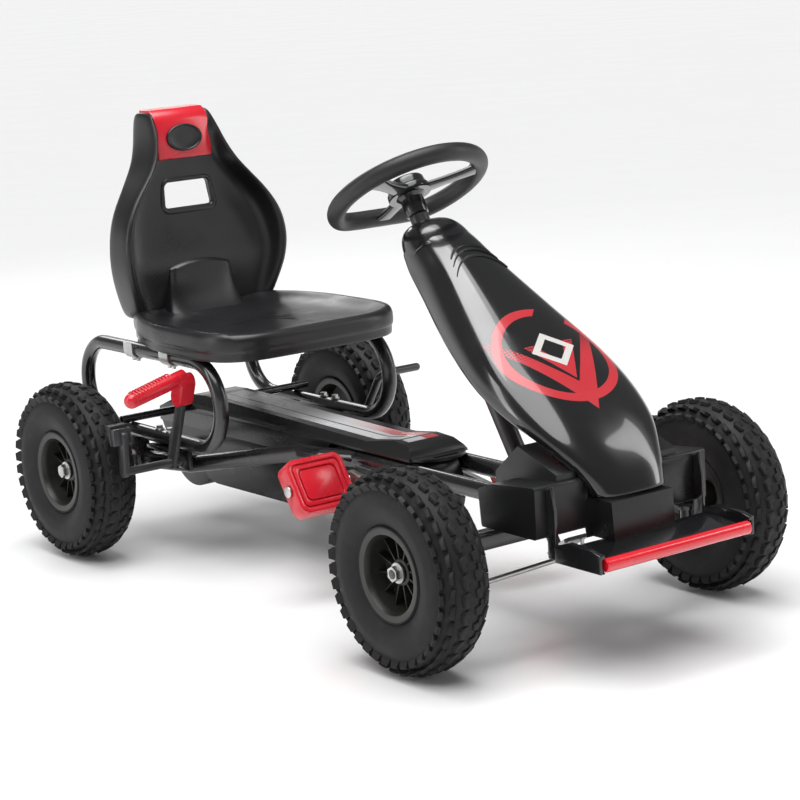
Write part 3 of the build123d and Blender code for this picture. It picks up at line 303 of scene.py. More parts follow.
# %% A socket that takes arithmetic
class Wire:
    """The output of a node, used in Python expressions."""

    def __init__(self, finish, socket):
        self.finish, self.socket = finish, socket

    def maths(self, operation, other=None, flipped=False):
        pair = (other, self) if flipped else (self, other)
        inputs = {i: value for i, value in enumerate(pair) if value is not None}
        return self.finish.node("ShaderNodeMath", {"operation": operation}, inputs)

    def __add__(self, other):
        return self.maths("ADD", other)

    def __sub__(self, other):
        return self.maths("SUBTRACT", other)

    def __rsub__(self, other):
        return self.maths("SUBTRACT", other, flipped=True)

    def __mul__(self, other):
        return self.maths("MULTIPLY", other)

    def __truediv__(self, other):
        return self.maths("DIVIDE", other)

    def __lt__(self, other):
        return self.maths("LESS_THAN", other)

    def __gt__(self, other):
        return self.maths("GREATER_THAN", other)

    def __abs__(self):
        return self.maths("ABSOLUTE")

    __radd__, __rmul__ = __add__, __mul__

    def root(self):
        return self.maths("SQRT")

    def least(self, other):
        return self.maths("MINIMUM", other)


class Finish:
    """A material whose constants sit on the shader, with whatever varies wired to it."""

    def __init__(self, name, colour, roughness, **fixed):
        self.material = bpy.data.materials.new(name)
        self.material.use_nodes = True
        self.tree = self.material.node_tree
        self.shader = next(n for n in self.tree.nodes if n.type == "BSDF_PRINCIPLED")
        self.shader.inputs["Base Color"].default_value = (*colour, 1)
        self.shader.inputs["Roughness"].default_value = roughness
        for socket, value in fixed.items():
            self.shader.inputs[socket.replace("_", " ")].default_value = value
        self.material.diffuse_color = (*colour, 1)
        self.place = None

    def put(self, socket, value):
        if isinstance(value, Wire):
            self.tree.links.new(value.socket, socket)
        else:
            socket.default_value = value

    def node(self, kind, settings=None, inputs=None, output=0):
        """Any node: its settings are set first, then its sockets are given values or links."""
        new = self.tree.nodes.new(kind)
        for key, value in (settings or {}).items():
            setattr(new, key, value)
        for socket, value in (inputs or {}).items():
            self.put(new.inputs[socket], value)
        return Wire(self, new.outputs[output])

    def coords(self):
        if self.place is None:
            self.place = self.node("ShaderNodeTexCoord", output="Object")
        return self.place

    def axes(self):
        place = self.coords()
        return [self.node("ShaderNodeSeparateXYZ", inputs={0: place}, output=i) for i in range(3)]

    def stretched(self, scale):
        inputs = {"Vector": self.coords(), "Scale": scale}
        return self.node("ShaderNodeMapping", {"vector_type": "POINT"}, inputs)

    def noise(self, scale, detail=3.0, vector=None, rough=0.5):
        inputs = {"Vector": vector or self.coords(), "Scale": scale, "Detail": detail, "Roughness": rough}
        return self.node("ShaderNodeTexNoise", None, inputs)

    def cells(self, scale):
        inputs = {"Vector": self.coords(), "Scale": scale}
        return self.node("ShaderNodeTexVoronoi", {"feature": "F1"}, inputs)

    def fade(self, value, low, high, to_low=0.0, to_high=1.0):
        """Smoothly from one number to another as the value passes from low to high."""
        inputs = {"Value": value, "From Min": low, "From Max": high, "To Min": to_low, "To Max": to_high}
        return self.node("ShaderNodeMapRange", {"interpolation_type": "SMOOTHSTEP"}, inputs)

    def tint(self, mask, first, second):
        """A colour between two, by a mask."""
        pair = [(*c, 1) if isinstance(c, tuple) else c for c in (first, second)]
        inputs = {"Factor": mask, "A": pair[0], "B": pair[1]}
        new = self.tree.nodes.new("ShaderNodeMix")
        new.data_type = "RGBA"
        for name, value in inputs.items():
            kind = "VALUE" if name == "Factor" else "RGBA"
            self.put(next(s for s in new.inputs if s.name == name and s.type == kind), value)
        return Wire(self, next(s for s in new.outputs if s.type == "RGBA"))

    def drive(self, socket, value):
        self.put(self.shader.inputs[socket], value)
        return self

    def mottle(self, mask, colour, factor):
        """The base colour, mixed by a mask with a lighter or darker shade of itself."""
        return self.drive("Base Color", self.tint(mask, colour, tuple(c * factor for c in colour)))

    def dotted(self, a, b, grid, size):
        """A square grid of round dots; their size may be a number or vary from place to place."""
        off_a, off_b = (a / grid).maths("FRACT") - 0.5, (b / grid).maths("FRACT") - 0.5
        return (off_a * off_a + off_b * off_b).root() < size

    def bump(self, height, depth, strength=0.6):
        inputs = {"Height": height, "Distance": depth, "Strength": strength}
        return self.drive("Normal", self.node("ShaderNodeBump", None, inputs))


# %% [markdown]
# Gloss enamel on steel tube is never a perfect mirror: it has a faint orange peel, and the gloss
# drops a little where hands and shoes have polished or dulled it. A slow noise varies the
# roughness, and a much finer one lifts the surface by a few hundredths of a millimetre.

# %% Enamel for the tubes, and clear-coated red
def enamel(name, colour, roughness, coat, peel=0.00004):
    finish = Finish(name, colour, roughness, Coat_Weight=coat, Coat_Roughness=0.06)
    smear = finish.fade(finish.noise(14, 4), 0.35, 0.7, roughness * 0.8, roughness * 1.5)
    speck = finish.fade(finish.noise(900, 2), 0.62, 0.72)
    finish.drive("Roughness", smear + speck * 0.1)
    finish.mottle(finish.noise(9, 3), colour, 1.35)
    return finish.bump(finish.noise(260, 2), peel, 0.5)


black_enamel = enamel("black_enamel", (0.0075, 0.0077, 0.0085), 0.24, 0.6)
column_enamel = enamel("column_enamel", (0.022, 0.022, 0.024), 0.36, 0.2)
red_enamel = enamel("red_enamel", (0.60, 0.008, 0.020), 0.22, 1.0)
print("enamels:", black_enamel.material.name, column_enamel.material.name, red_enamel.material.name)


# %% [markdown]
# Blow-moulded and injected plastics differ in their skin. The case and the nose have a fine
# spark-eroded grain, the seat has a coarser one with worn, shinier patches where someone sits,
# and the bonnet and the pedals come out of a polished tool. The grain is a bump in the
# normal; the wear is a slow change in roughness and a slightly greyer colour.

# %% Moulded plastics
def moulded(name, colour, roughness, grain, depth, worn=0.12, greyer=1.5, **fixed):
    finish = Finish(name, colour, roughness, **fixed)
    wear = finish.fade(finish.noise(7, 5, rough=0.6), 0.42, 0.68)
    scuff = finish.fade(finish.noise(55, 6, finish.stretched((1, 0.35, 1)), 0.7), 0.60, 0.74)
    skin = finish.cells(grain) + finish.noise(grain * 2, 2) * 0.6
    finish.drive("Roughness", wear * -worn + scuff * 0.10 + roughness)
    finish.mottle((wear * 0.5 + scuff * 0.5).least(1.0), colour, greyer)
    return finish.bump(skin, depth, 0.45)


seat_skin = moulded("seat_skin", (0.0090, 0.0090, 0.0102), 0.37, 620, 0.00008)
case_skin = moulded("case_skin", (0.0085, 0.0087, 0.0095), 0.34, 900, 0.00005)
gloss_skin = moulded("gloss_skin", (0.0085, 0.0087, 0.0095), 0.20, 420, 0.00001, worn=0.05, Coat_Weight=0.5,
                     Coat_Roughness=0.08)
red_skin = moulded("red_skin", (0.60, 0.010, 0.024), 0.30, 420, 0.00002, worn=0.08, greyer=1.15,
                   Coat_Weight=0.35, Coat_Roughness=0.15)
rim_skin = moulded("rim_skin", (0.016, 0.0158, 0.0130), 0.42, 800, 0.00005, worn=0.1)
grip_skin = moulded("grip_skin", (0.0115, 0.0115, 0.012), 0.50, 1100, 0.00012, worn=0.15)
bush_skin = moulded("bush_skin", (0.014, 0.014, 0.014), 0.5, 700, 0.00004)
print("plastics:", [f.material.name for f in (seat_skin, case_skin, gloss_skin, red_skin, rim_skin)])


# %% [markdown]
# Zinc plating is a soft, slightly blotchy metal: the crystals catch the light differently from
# place to place. Rubber is the opposite, dark and dry, with a bloom of pale dust in slow
# patches over the whole tyre.

# %% Plated steel and tyre rubber
def plated(name, colour, roughness):
    finish = Finish(name, colour, roughness, Metallic=1.0)
    spangle = finish.cells(420)
    brushed = finish.noise(40, 5, finish.stretched((30, 1, 1)), 0.65)
    finish.drive("Roughness", brushed * 0.22 + spangle * 0.08 + (roughness - 0.12))
    dulled = finish.fade(finish.noise(30, 4), 0.45, 0.75)
    finish.mottle(dulled, colour, 0.72)
    return finish.bump(brushed, 0.00003, 0.4)


zinc = plated("zinc", (0.60, 0.60, 0.585), 0.34)
chain_steel = plated("chain_steel", (0.16, 0.155, 0.15), 0.42)


def rubber(name):
    colour, dust = (0.0085, 0.0085, 0.0095), (0.045, 0.043, 0.040)
    finish = Finish(name, colour, 0.62, Specular_IOR_Level=0.3)
    dusty = finish.fade(finish.noise(38, 6, rough=0.65), 0.50, 0.78) * 0.25
    fine = finish.noise(700, 3)
    finish.drive("Base Color", finish.tint(dusty, colour, dust))
    finish.drive("Roughness", finish.noise(22, 4) * 0.22 + 0.47)
    return finish.bump(fine + finish.noise(160, 3) * 0.8, 0.00018, 0.5)


tyre_rubber = rubber("tyre_rubber")
print("metals and rubber:", zinc.material.name, chain_steel.material.name, tyre_rubber.material.name)


# %% [markdown]
# The bonnet's sticker is drawn by arithmetic on the surface's own place. Two numbers are enough:
# how far across from the middle, and how far down the slope from the ring's centre. A ring is a
# band of distance, a chevron is a band of across plus down, and the halftone is a grid of dots
# whose size grows along the slope. The shapes are plain geometry with no lettering.

# %% The bonnet's printed skin
bonnet_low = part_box("bonnet")[0]
ring_centre = Vector((0, -0.3685, 0.3600))
ring_inner, ring_outer, print_foot = 0.071, 0.084, 0.22      # radii, and the print's lowest height
slope = Vector((0, -0.80, -0.60)).normalized()
RED, PALE = (0.50, 0.020, 0.030), (0.62, 0.60, 0.58)


def bonnet_print():
    colour = (0.0080, 0.0082, 0.0090)
    finish = Finish("bonnet_print", colour, 0.2, Coat_Weight=0.8, Coat_Roughness=0.05)
    x, y, z = finish.axes()
    down = (y - ring_centre.y) * slope.y + (z - ring_centre.z) * slope.z
    across = abs(x)
    outside = z > print_foot
    far = (x * x + down * down).root()
    gap_at = abs(x - 0.040) + abs(down + 0.070)
    ring = (far < ring_outer) * (far > ring_inner) * (gap_at > 0.030)
    # two wings that meet in a tip below the ring, solid near the tip and dotted above
    outer, inner = across * 1.68 + down, across * 1.32 + down
    wings = (outer < 0.098) * (inner > 0.052) * (across < 0.080)
    dots = finish.dotted(x, down, 0.0042, finish.fade(down, -0.060, 0.020, 0.22, 0.62))
    core = (outer < 0.046) * (outer > 0.020) * (down > -0.020)
    spread = across * 0.9 + abs(down + 0.008)
    lozenge = (spread < 0.031) * (spread > 0.019)
    red = (ring + wings * dots + core * dots).least(1.0) * outside
    pale = lozenge * outside
    base = finish.tint(red, colour, RED)
    finish.drive("Base Color", finish.tint(pale, base, PALE))
    finish.drive("Roughness", finish.fade(finish.noise(12, 4), 0.35, 0.7, 0.14, 0.24) + red * 0.16)
    edge = (red + pale).least(1.0)
    return finish.bump(edge * 0.5 + finish.noise(300, 2) * 0.05, 0.00012, 0.5)


bonnet_skin = bonnet_print()
print("bonnet print centred at", tuple(round(v, 3) for v in ring_centre))


# %% [markdown]
# The long sticker on the chain case is a bright, slightly metallic film with a thin dark line
# along its middle and a red strip of dots that fades out towards the rear.

# %% The chain case's sticker film
def case_film(front, rear):
    film = (0.60, 0.60, 0.61)
    finish = Finish("case_film", film, 0.28, Metallic=0.1, Coat_Weight=0.4)
    x, y, _ = finish.axes()
    share = (y - front) / (rear - front)
    line = (abs(x + 0.006) < 0.0016) * (share > 0.05)
    strip_end = 0.55                        # of the way along
    dots = finish.dotted(x, y, 0.0046, finish.fade(share, 0.0, strip_end, 0.62, 0.05))
    strip = dots * (x > 0.004) * (share < strip_end)
    coloured = finish.tint(strip, film, (0.55, 0.03, 0.04))
    finish.drive("Base Color", finish.tint(line, coloured, (0.01, 0.01, 0.01)))
    finish.drive("Roughness", finish.noise(20, 4) * 0.25 + 0.18)
    return finish


def dress(obj, finish):
    """One finish on the whole piece."""
    obj.data.materials.clear()
    obj.data.materials.append(finish.material)
    return obj


# %% [markdown]
# # Wheels
# A pneumatic kart tyre is a smooth carcass with rubber blocks standing on it. The carcass is a
# profile turned about the axle: bead, ringed sidewall, rounded crown. The blocks repeat round the
# wheel in rows, so Geometry Nodes place them: points on a circle, each carrying one tapered block
# turned to face outwards. The tree takes the row's sizes as named inputs, so six runs of the
# same tree, at different places round the tyre's section, make the whole tread.

# %% A tree that sets one row of blocks round an axle
class Tree:
    """A Geometry Nodes group with named inputs, built in order."""

    def __init__(self, name, sizes):
        self.group = bpy.data.node_groups.new(name, "GeometryNodeTree")
        self.group.interface.new_socket("Geometry", in_out="INPUT", socket_type="NodeSocketGeometry")
        self.group.interface.new_socket("Geometry", in_out="OUTPUT", socket_type="NodeSocketGeometry")
        self.idents = {}
        for label, kind in sizes.items():
            made_socket = self.group.interface.new_socket(label, in_out="INPUT", socket_type=kind)
            self.idents[label] = made_socket.identifier
        self.inputs = self.group.nodes.new("NodeGroupInput")
        self.result = self.group.nodes.new("NodeGroupOutput")

    def given(self, label):
        return self.inputs.outputs[label]

    def node(self, kind, settings=None, inputs=None, output=0):
        new = self.group.nodes.new(kind)
        for key, value in (settings or {}).items():
            setattr(new, key, value)
        for socket, value in (inputs or {}).items():
            self.put(new.inputs[socket], value)
        return new.outputs[output]

    def put(self, socket, value):
        if isinstance(value, bpy.types.NodeSocket):
            self.group.links.new(value, socket)
        else:
            socket.default_value = value

    def maths(self, operation, a, b=0.0):
        return self.node("ShaderNodeMath", {"operation": operation}, {0: a, 1: b})

    def block(self):
        """The mesh of the object given as Block."""
        settings = {"transform_space": "ORIGINAL"}
        return self.node("GeometryNodeObjectInfo", settings, {"Object": self.given("Block")}, output=4)

    def copied(self, points, block, rotation):
        """The block on each point, made real."""
        inputs = {"Points": points, "Instance": block, "Rotation": rotation}
        self.finish(self.node("GeometryNodeInstanceOnPoints", None, inputs))

    def finish(self, geometry):
        """Real meshes with their material, because an export drops instances."""
        solid = self.node("GeometryNodeRealizeInstances", None, {0: geometry})
        coated = self.node("GeometryNodeSetMaterial", None,
                           {"Geometry": solid, "Material": self.given("Material")})
        self.group.links.new(coated, self.result.inputs[0])

    def run(self, name, values):
        """A plain mesh from the tree, with each input set by its socket's identifier."""
        obj = linked(name, bpy.data.meshes.new(name))
        modifier = obj.modifiers.new("shape", "NODES")
        modifier.node_group = self.group
        for label, value in values.items():
            modifier[self.idents[label]] = value
        return applied(obj)


def ring_row_tree():
    """Copies of one block on a circle about X, leaning sideways, each turned to face outwards."""
    tree = Tree("row_round_axle", {
        "Block": "NodeSocketObject", "Count": "NodeSocketInt", "Radius": "NodeSocketFloat",
        "Offset": "NodeSocketFloat", "Lean": "NodeSocketFloat", "Twist": "NodeSocketFloat",
        "Phase": "NodeSocketFloat", "Jitter": "NodeSocketFloat", "Material": "NodeSocketMaterial"})
    line = tree.node("GeometryNodePoints", None, {"Count": tree.given("Count")})
    index = tree.node("GeometryNodeInputIndex")
    share = tree.maths("DIVIDE", tree.maths("ADD", index, tree.given("Phase")), tree.given("Count"))
    turn = tree.maths("MULTIPLY", share, 2 * math.pi)
    y = tree.maths("MULTIPLY", tree.maths("SINE", turn), tree.given("Radius"))
    z = tree.maths("MULTIPLY", tree.maths("COSINE", turn), tree.given("Radius"))
    place = tree.node("ShaderNodeCombineXYZ", None, {0: tree.given("Offset"), 1: y, 2: z})
    placed = tree.node("GeometryNodeSetPosition", None, {"Geometry": line, "Position": place})
    block = tree.block()
    most, least = tree.given("Jitter"), tree.maths("MULTIPLY", tree.given("Jitter"), -1.0)
    wobble = tree.node("FunctionNodeRandomValue", {"data_type": "FLOAT"}, {2: least, 3: most, "Seed": 7},
                       output=1)
    twist = tree.maths("ADD", tree.given("Twist"), wobble)
    own = tree.node("ShaderNodeCombineXYZ", None, {0: 0.0, 1: tree.given("Lean"), 2: twist})
    around = tree.node("ShaderNodeCombineXYZ", None, {0: tree.maths("MULTIPLY", turn, -1.0)})
    first = tree.node("FunctionNodeEulerToRotation", None, {0: own})
    second = tree.node("FunctionNodeEulerToRotation", None, {0: around})
    both = tree.node("FunctionNodeRotateRotation", {"rotation_space": "GLOBAL"}, {0: first, 1: second})
    tree.copied(placed, block, both)
    return tree


row_round_axle = ring_row_tree()
print("inputs:", list(row_round_axle.idents))


# %% [markdown]
# One tread block is a small prism whose top is a little smaller than its foot, so it comes out of
# the mould. Its outline is a polygon, straight or bent like a chevron. A narrow bevel round the
# top face catches the light, which is what makes a tread read as rubber.

# %% A tapered block from an outline
def prism(name, outline, foot, top, taper=0.86, edge=0.0008):
    """A block over an (x, y) outline from a foot height to a top, with a rounded upper edge."""
    cx = sum(p[0] for p in outline) / len(outline)
    cy = sum(p[1] for p in outline) / len(outline)
    rings = []
    steps = ((foot, 1.0), (top - edge, taper + 0.03), (top - edge * 0.3, taper), (top, taper - 0.07))
    for height, scale in steps:
        rings.append([(cx + (x - cx) * scale, cy + (y - cy) * scale, height) for x, y in outline])
    return lofted(name, rings, angle=50)


mm = 0.001
pitch_count = 36
block_foot, block_top = -0.0030, 0.0020         # from the carcass
crown_depth, side_depth = 0.0028, 0.0024        # from the tyre's box to the carcass
crown = tyre_radius - crown_depth
section_half = tyre_half - side_depth
section_core = tyre_radius - tyre_half
block_shapes = {
    "hook": [(-7.2, -8.8), (1, -9.6), (7.2, -5.0), (7.6, 7.0), (2.2, 8.8), (1.0, 1.6), (-7.0, 0.8)],
    "bar": [(-7.4, -7.0), (3, -9.2), (7.6, -4.0), (7.6, 7.0), (-3, 9.2), (-7.6, 4.0)],
    "lug": [(-7.0, -8.8), (7.4, -6.6), (7.8, 4.6), (2, 8.0), (-6.8, 8.2)],
}
moulds = {kind: prism("mould_" + kind, [(x * mm, y * mm) for x, y in outline], block_foot, block_top, 0.94)
          for kind, outline in block_shapes.items()}
tread_rows = [
    # block, angle round the tyre's section from its side, side, twist, phase
    ("hook", 78, 1, 10, 0.00), ("hook", 78, -1, 190, 0.50),
    ("bar", 54, 1, -8, 0.30), ("bar", 54, -1, 172, 0.80),
    ("lug", 31, 1, 0, 0.05), ("lug", 31, -1, 180, 0.55),
]


def tread():
    rows = []
    for index, (kind, degrees, side, twist, phase) in enumerate(tread_rows):
        a = math.radians(degrees)
        rows.append(row_round_axle.run(f"tread_row_{index}", {
            "Block": moulds[kind], "Count": pitch_count,
            "Radius": section_core + (crown - section_core) * math.sin(a),
            "Offset": side * section_half * math.cos(a),
            "Lean": side * (math.pi / 2 - a), "Twist": math.radians(twist), "Phase": phase,
            "Jitter": math.radians(3), "Material": tyre_rubber.material}))
    return joined("tread", *rows)


tread_pattern = tread()
print("tread blocks:", pitch_count * len(tread_rows), "triangles:", tris(tread_pattern))


# %% [markdown]
# The carcass profile runs from one bead over the crown to the other. Fine raised rings on the
# sidewall come from small steps in the radius. The tread mesh is copied to each wheel's axle and
# joined to its carcass, so a tyre is one piece that turns with its own body.

# %% Carcass and tyre
def carcass_profile():
    """(outboard, radius) points round the tyre's section, closed inside the rim."""
    right = []
    for step in range(25):
        a = math.radians(-52 + step * 142 / 24)      # from the bead up to the crown
        out = section_half * math.cos(a)
        r = section_core + (crown - section_core) * math.sin(a)
        if 0 < a < math.radians(20):
            ripple = 0.00055 * max(0.0, math.cos(a * 34))
            out += ripple * math.cos(a)
            r += ripple * math.sin(a)
        right.append((out, r))
    bead = [(0.0300, 0.0515), (0.0322, 0.0560), (0.0335, 0.0600)]
    right = [p for p in right if p[1] > 0.0615]
    outer = bead + right
    left = [(-out, r) for out, r in outer[::-1]]
    return outer[:-1] + [(0, crown)] + left[1:] + [(-0.020, 0.0515), (0.020, 0.0515), outer[0]]


def tyre(wheel):
    base = spun(f"carcass_{wheel}", carcass_profile(), hub[wheel], steps=96, angle=30)
    dress(base, tyre_rubber)
    blocks = linked("tread_copy", tread_pattern.data.copy())
    blocks.data.transform(Matrix.Translation(hub[wheel]))
    whole = joined(f"tyre_{wheel}_rubber", base, blocks)
    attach(whole, WHEEL_BODY[wheel])
    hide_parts(f"tyre_{wheel}")
    return whole


tyres = {wheel: tyre(wheel) for wheel in WHEELS}
print("one tyre:", tris(tyres["front_left"]), "triangles")


# %% [markdown]
# The wheel centre is an injected moulding in a dark olive black: a flange with a rolled lip, a
# deep dish, a flat ring, and a dozen thin ribs that run from the hub to the dish's wall. The lip
# and the dish are one spun profile. The ribs are another row round the axle, made by the same
# tree, with a thin fin as its block.

# %% Rim with ribs
rim_hole = {"front_left": 0.0090, "front_right": 0.0090, "rear_left": 0.0110, "rear_right": 0.0081}
rim_ribs = 12


def rim_profile(bore):
    lip = [(0.0262, 0.0478), (0.0318, 0.0505), (0.0330, 0.0555), (0.0328, 0.0600), (0.0316, 0.0609),
           (0.0301, 0.0604), (0.0299, 0.0560), (0.0290, 0.0512)]
    outside = [(0.0140, bore + 0.0002), (0.0140, 0.0150), (0.0128, 0.0168), (0.0040, 0.0176),
               (0.0015, 0.0190), (0.0010, 0.0400), (0.0022, 0.0448), (0.0070, 0.0466), (0.0225, 0.0474)]
    inner_lip = [(-out, r) for out, r in lip[::-1]]
    inside = [(-0.0060, 0.0466), (-0.0030, 0.0400), (-0.0030, 0.0190), (-0.0060, 0.0176),
              (-0.0290, 0.0170), (-0.0300, bore + 0.0002)]
    return outside + lip + inner_lip + inside + [outside[0]]


fin_outline = [(-0.0058, -0.0009), (0.0062, -0.0009), (0.0062, 0.0009), (-0.0058, 0.0009)]
rib_mould = prism("mould_rib", fin_outline, -0.0150, 0.0148, taper=0.97, edge=0.0006)


def rim(wheel):
    side = 1 if hub[wheel].x > 0 else -1
    body = dress(spun(f"dish_{wheel}", rim_profile(rim_hole[wheel]), hub[wheel], side), rim_skin)
    ribs = row_round_axle.run(f"ribs_{wheel}", {
        "Block": rib_mould, "Count": rim_ribs, "Radius": 0.0322, "Offset": side * 0.0068, "Lean": 0.0,
        "Twist": 0.0, "Phase": 0.35, "Jitter": 0.0, "Material": rim_skin.material})
    ribs.data.transform(Matrix.Translation(hub[wheel]))
    whole = joined(f"rim_{wheel}_moulding", body, ribs)
    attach(whole, WHEEL_BODY[wheel])
    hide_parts(f"rim_{wheel}")
    return whole


rims = {wheel: rim(wheel) for wheel in WHEELS}
for mould in list(moulds.values()) + [rib_mould, tread_pattern]:
    bpy.data.objects.remove(mould)
print("ribs per rim:", rim_ribs, "triangles:", tris(rims["front_left"]))


# %% [markdown]
# # Seat
# The seat's back is one blow-moulded shell: a thin panel between two deep bolsters that rise into
# horns beside the headrest. Each height has a front line and a rear line across the seat with
# matching points, so the ends close with a strip of quads and the whole skin can be subdivided
# without a pinch. The heights, widths and depths follow the engineering shell.

# %% The back's shell
seat_levels = [
    # height, half width, bolster front, bolster rear, panel front, bolster thickness: in mm
    (331.5, 119, 462, 512, 479, 15), (345, 125, 455, 512, 478, 16), (364, 131, 449, 511, 477, 16),
    (387, 139, 443, 506, 475, 16), (409, 144, 440, 502, 474, 16), (434, 145.6, 438.3, 500, 479, 16),
    (465, 141, 440, 502, 486, 16), (491, 130, 446, 507, 492, 15), (515, 113, 452, 513, 495, 14),
    (538, 92, 456, 526, 496, 13), (559, 75, 461, 536, 496, 12), (583, 64, 469, 545, 497, 10),
    (603, 59, 478, 550, 499, 9), (621, 56, 491, 551, 502, 8), (630, 54, 498, 548, 505, 8),
    (633.6, 51, 506, 543, 510, 8),
]
seat_table_front = 0.438
seat_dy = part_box("seat_back")[0].y - seat_table_front
panel_thick = 12.0


def back_lines(level):
    """Paired front and rear points across the seat at one height, left to right."""
    z, half, front, rear, panel, side = level
    behind = min(panel + panel_thick, rear - 3)
    right = [
        ((0, panel), (0, behind)),
        (((half - side) * 0.36, panel), ((half - side) * 0.36, behind)),
        (((half - side) * 0.68, panel - 0.6), ((half - side) * 0.68, behind)),
        ((half - side - 9, panel - 3), (half - side - 10, behind + 1)),
        ((half - side - 2, (front + panel) / 2 + 1), (half - side - 4, (rear + behind) / 2 + 1)),
        ((half - side + 2, front + 5), (half - side, rear - 4)),
        ((half - side * 0.5, front), (half - side * 0.5, rear)),
        ((half - 2.0, front + 3.5), (half - 3.0, rear - 3.5)),
        ((half, front + 12), (half, rear - 12))]
    left = [((-fx, fy), (-rx, ry)) for (fx, fy), (rx, ry) in right[:0:-1]]
    return left + right, z


def back_shell():
    rings, count = [], 0
    for level in seat_levels:
        columns, z = back_lines(level)
        front, rear = [[(x * mm, y * mm + seat_dy, z * mm) for x, y in line] for line in zip(*columns)]
        count = len(front)
        rings.append(front + rear[::-1])
    total = 2 * count
    corners = [c for ring in rings for c in ring]
    faces = loft_faces(len(rings), total)
    for first in (0, (len(rings) - 1) * total):
        for i in range(count - 1):
            faces.append((first + i, first + i + 1, first + total - 2 - i, first + total - 1 - i))
    return subdivided(made("seat_back_shell", corners, faces), 2)


back = back_shell()
print("back shell:", tris(back), "triangles, box", [round(v, 3) for v in back.dimensions])


# %% [markdown]
# The hand hole is cut with a boolean, and a rolled lip is then laid round it, thicker along the
# bottom where a hand takes hold. Below it a lumbar form leaves the panel at a curved crest and
# flares forward on to the seat. Its rings are rounded rectangles that grow on the way down.

# %% Hand hole, lip and lumbar pad
def rounded_rectangle(half_x, half_z, corner, steps=8, lean=0.0):
    """Points round a rectangle with round corners, in (across, up)."""
    points = []
    for cx, cz, start in ((1, 1, 0), (-1, 1, 90), (-1, -1, 180), (1, -1, 270)):
        for step in range(steps + 1):
            a = math.radians(start + 90 * step / steps)
            z = cz * (half_z - corner) + corner * math.sin(a)
            x = cx * (half_x - corner) + corner * math.cos(a)
            points.append((x * (1 - lean * z / half_z), z))
    return points


def power(value, exponent):
    return math.copysign(abs(value) ** exponent, value)


hole_middle = Vector((0, 0.500 + seat_dy, 0.5065))
hole_half = (0.0425, 0.0225)


def cut_hole(shell):
    outline = rounded_rectangle(*hole_half, 0.010, lean=0.06)
    rings = [[(x, hole_middle.y + depth, hole_middle.z + z) for x, z in outline] for depth in (-0.06, 0.06)]
    cutter = lofted("hole_cutter", rings)
    cut = shell.modifiers.new("hole", "BOOLEAN")
    cut.operation, cut.solver, cut.object = "DIFFERENCE", "EXACT", cutter
    applied(shell)
    bpy.data.objects.remove(cutter)
    return shaded(shell, 35)


def hole_lip():
    outline = rounded_rectangle(hole_half[0] + 0.0015, hole_half[1] + 0.0015, 0.011, lean=0.06)
    path = [(x, hole_middle.y - 0.0055 + (0.002 if z > 0 else 0.0), hole_middle.z + z) for x, z in outline]
    count = len(path)

    def fat(share):
        z = outline[min(int(share * (count - 1) + 0.5), count - 1)][1]
        return 0.0036 + 0.0024 * max(0.0, -z / hole_half[1])
    return tube("hole_lip", path, fat, sides=20, closed=True)


lumbar_low, lumbar_top = 0.322, 0.412


def lumbar_scoop(rows=28, around=56):
    """A form that leaves the panel at a curved crest and flares forward on to the seat."""
    rings = []
    for row in range(rows):
        t = row / (rows - 1)
        z = lumbar_top + (lumbar_low - lumbar_top) * t
        half_x = 0.054 + 0.018 * t**1.8
        reach = 0.0115 * min(1.0, t / 0.06) ** 0.5 + 0.030 * t**2.6
        ring = []
        for a in turns(around):
            x = half_x * power(math.cos(a), 0.38)
            y = 0.4800 + seat_dy + power(math.sin(a), 0.38) * (reach if math.sin(a) < 0 else 0.004)
            ring.append((x, y, z - 0.010 * (1 - t) * (x / half_x) ** 2))
        rings.append(ring)
    return lofted("lumbar", rings, angle=50)


lumbar = lumbar_scoop()
whole_back = joined("seat_back_moulding", cut_hole(back), hole_lip(), lumbar)
shaded(dress(whole_back, seat_skin), 35)
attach(whole_back, "seat")
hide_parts("seat_back")
print("seat back:", tris(whole_back), "triangles")


# %% [markdown]
# The pan is a ring of rings. Seen from above it is one outline, tapered at the front and narrow
# at the back; seen from the side it is a profile: a skirt with a small step, a rolled rim and a
# shallow dish. Sweeping the profile round the outline gives the whole pan, and the two soft
# grooves of the seat's surface are then pressed into the dense mesh.

# %% The pan
def closed_curve(points, count):
    """Evenly spaced points on a smooth closed curve through the given ones."""
    points = [Vector(p) for p in points]
    n = len(points)
    dense = []
    for i in range(n):
        p0, p1, p2, p3 = points[i - 1], points[i], points[(i + 1) % n], points[(i + 2) % n]
        dense += [between(p0, p1, p2, p3, step / 24) for step in range(24)]
    lengths = [0.0]
    for a, b in zip(dense, dense[1:] + dense[:1]):
        lengths.append(lengths[-1] + (b - a).length)
    result, j = [], 0
    for k in range(count):
        goal = lengths[-1] * k / count
        while lengths[j + 1] < goal:
            j += 1
        a, b = dense[j], dense[(j + 1) % len(dense)]
        share = (goal - lengths[j]) / max(lengths[j + 1] - lengths[j], 1e-9)
        result.append(a + (b - a) * share)
    return result


pan_low, pan_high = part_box("seat_base")
pan_front = pan_low.y
half_outline = [    # across, back from the front edge: in mm
    (0, 0.5), (55, 0.8), (97, 3), (128, 12), (151, 32), (164, 66), (166.5, 110), (166.5, 150),
    (164, 200), (150, 262), (130, 302), (117, 330), (96, 345), (50, 346),
]
pan_outline = half_outline + [(-x, y) for x, y in half_outline[:0:-1]]


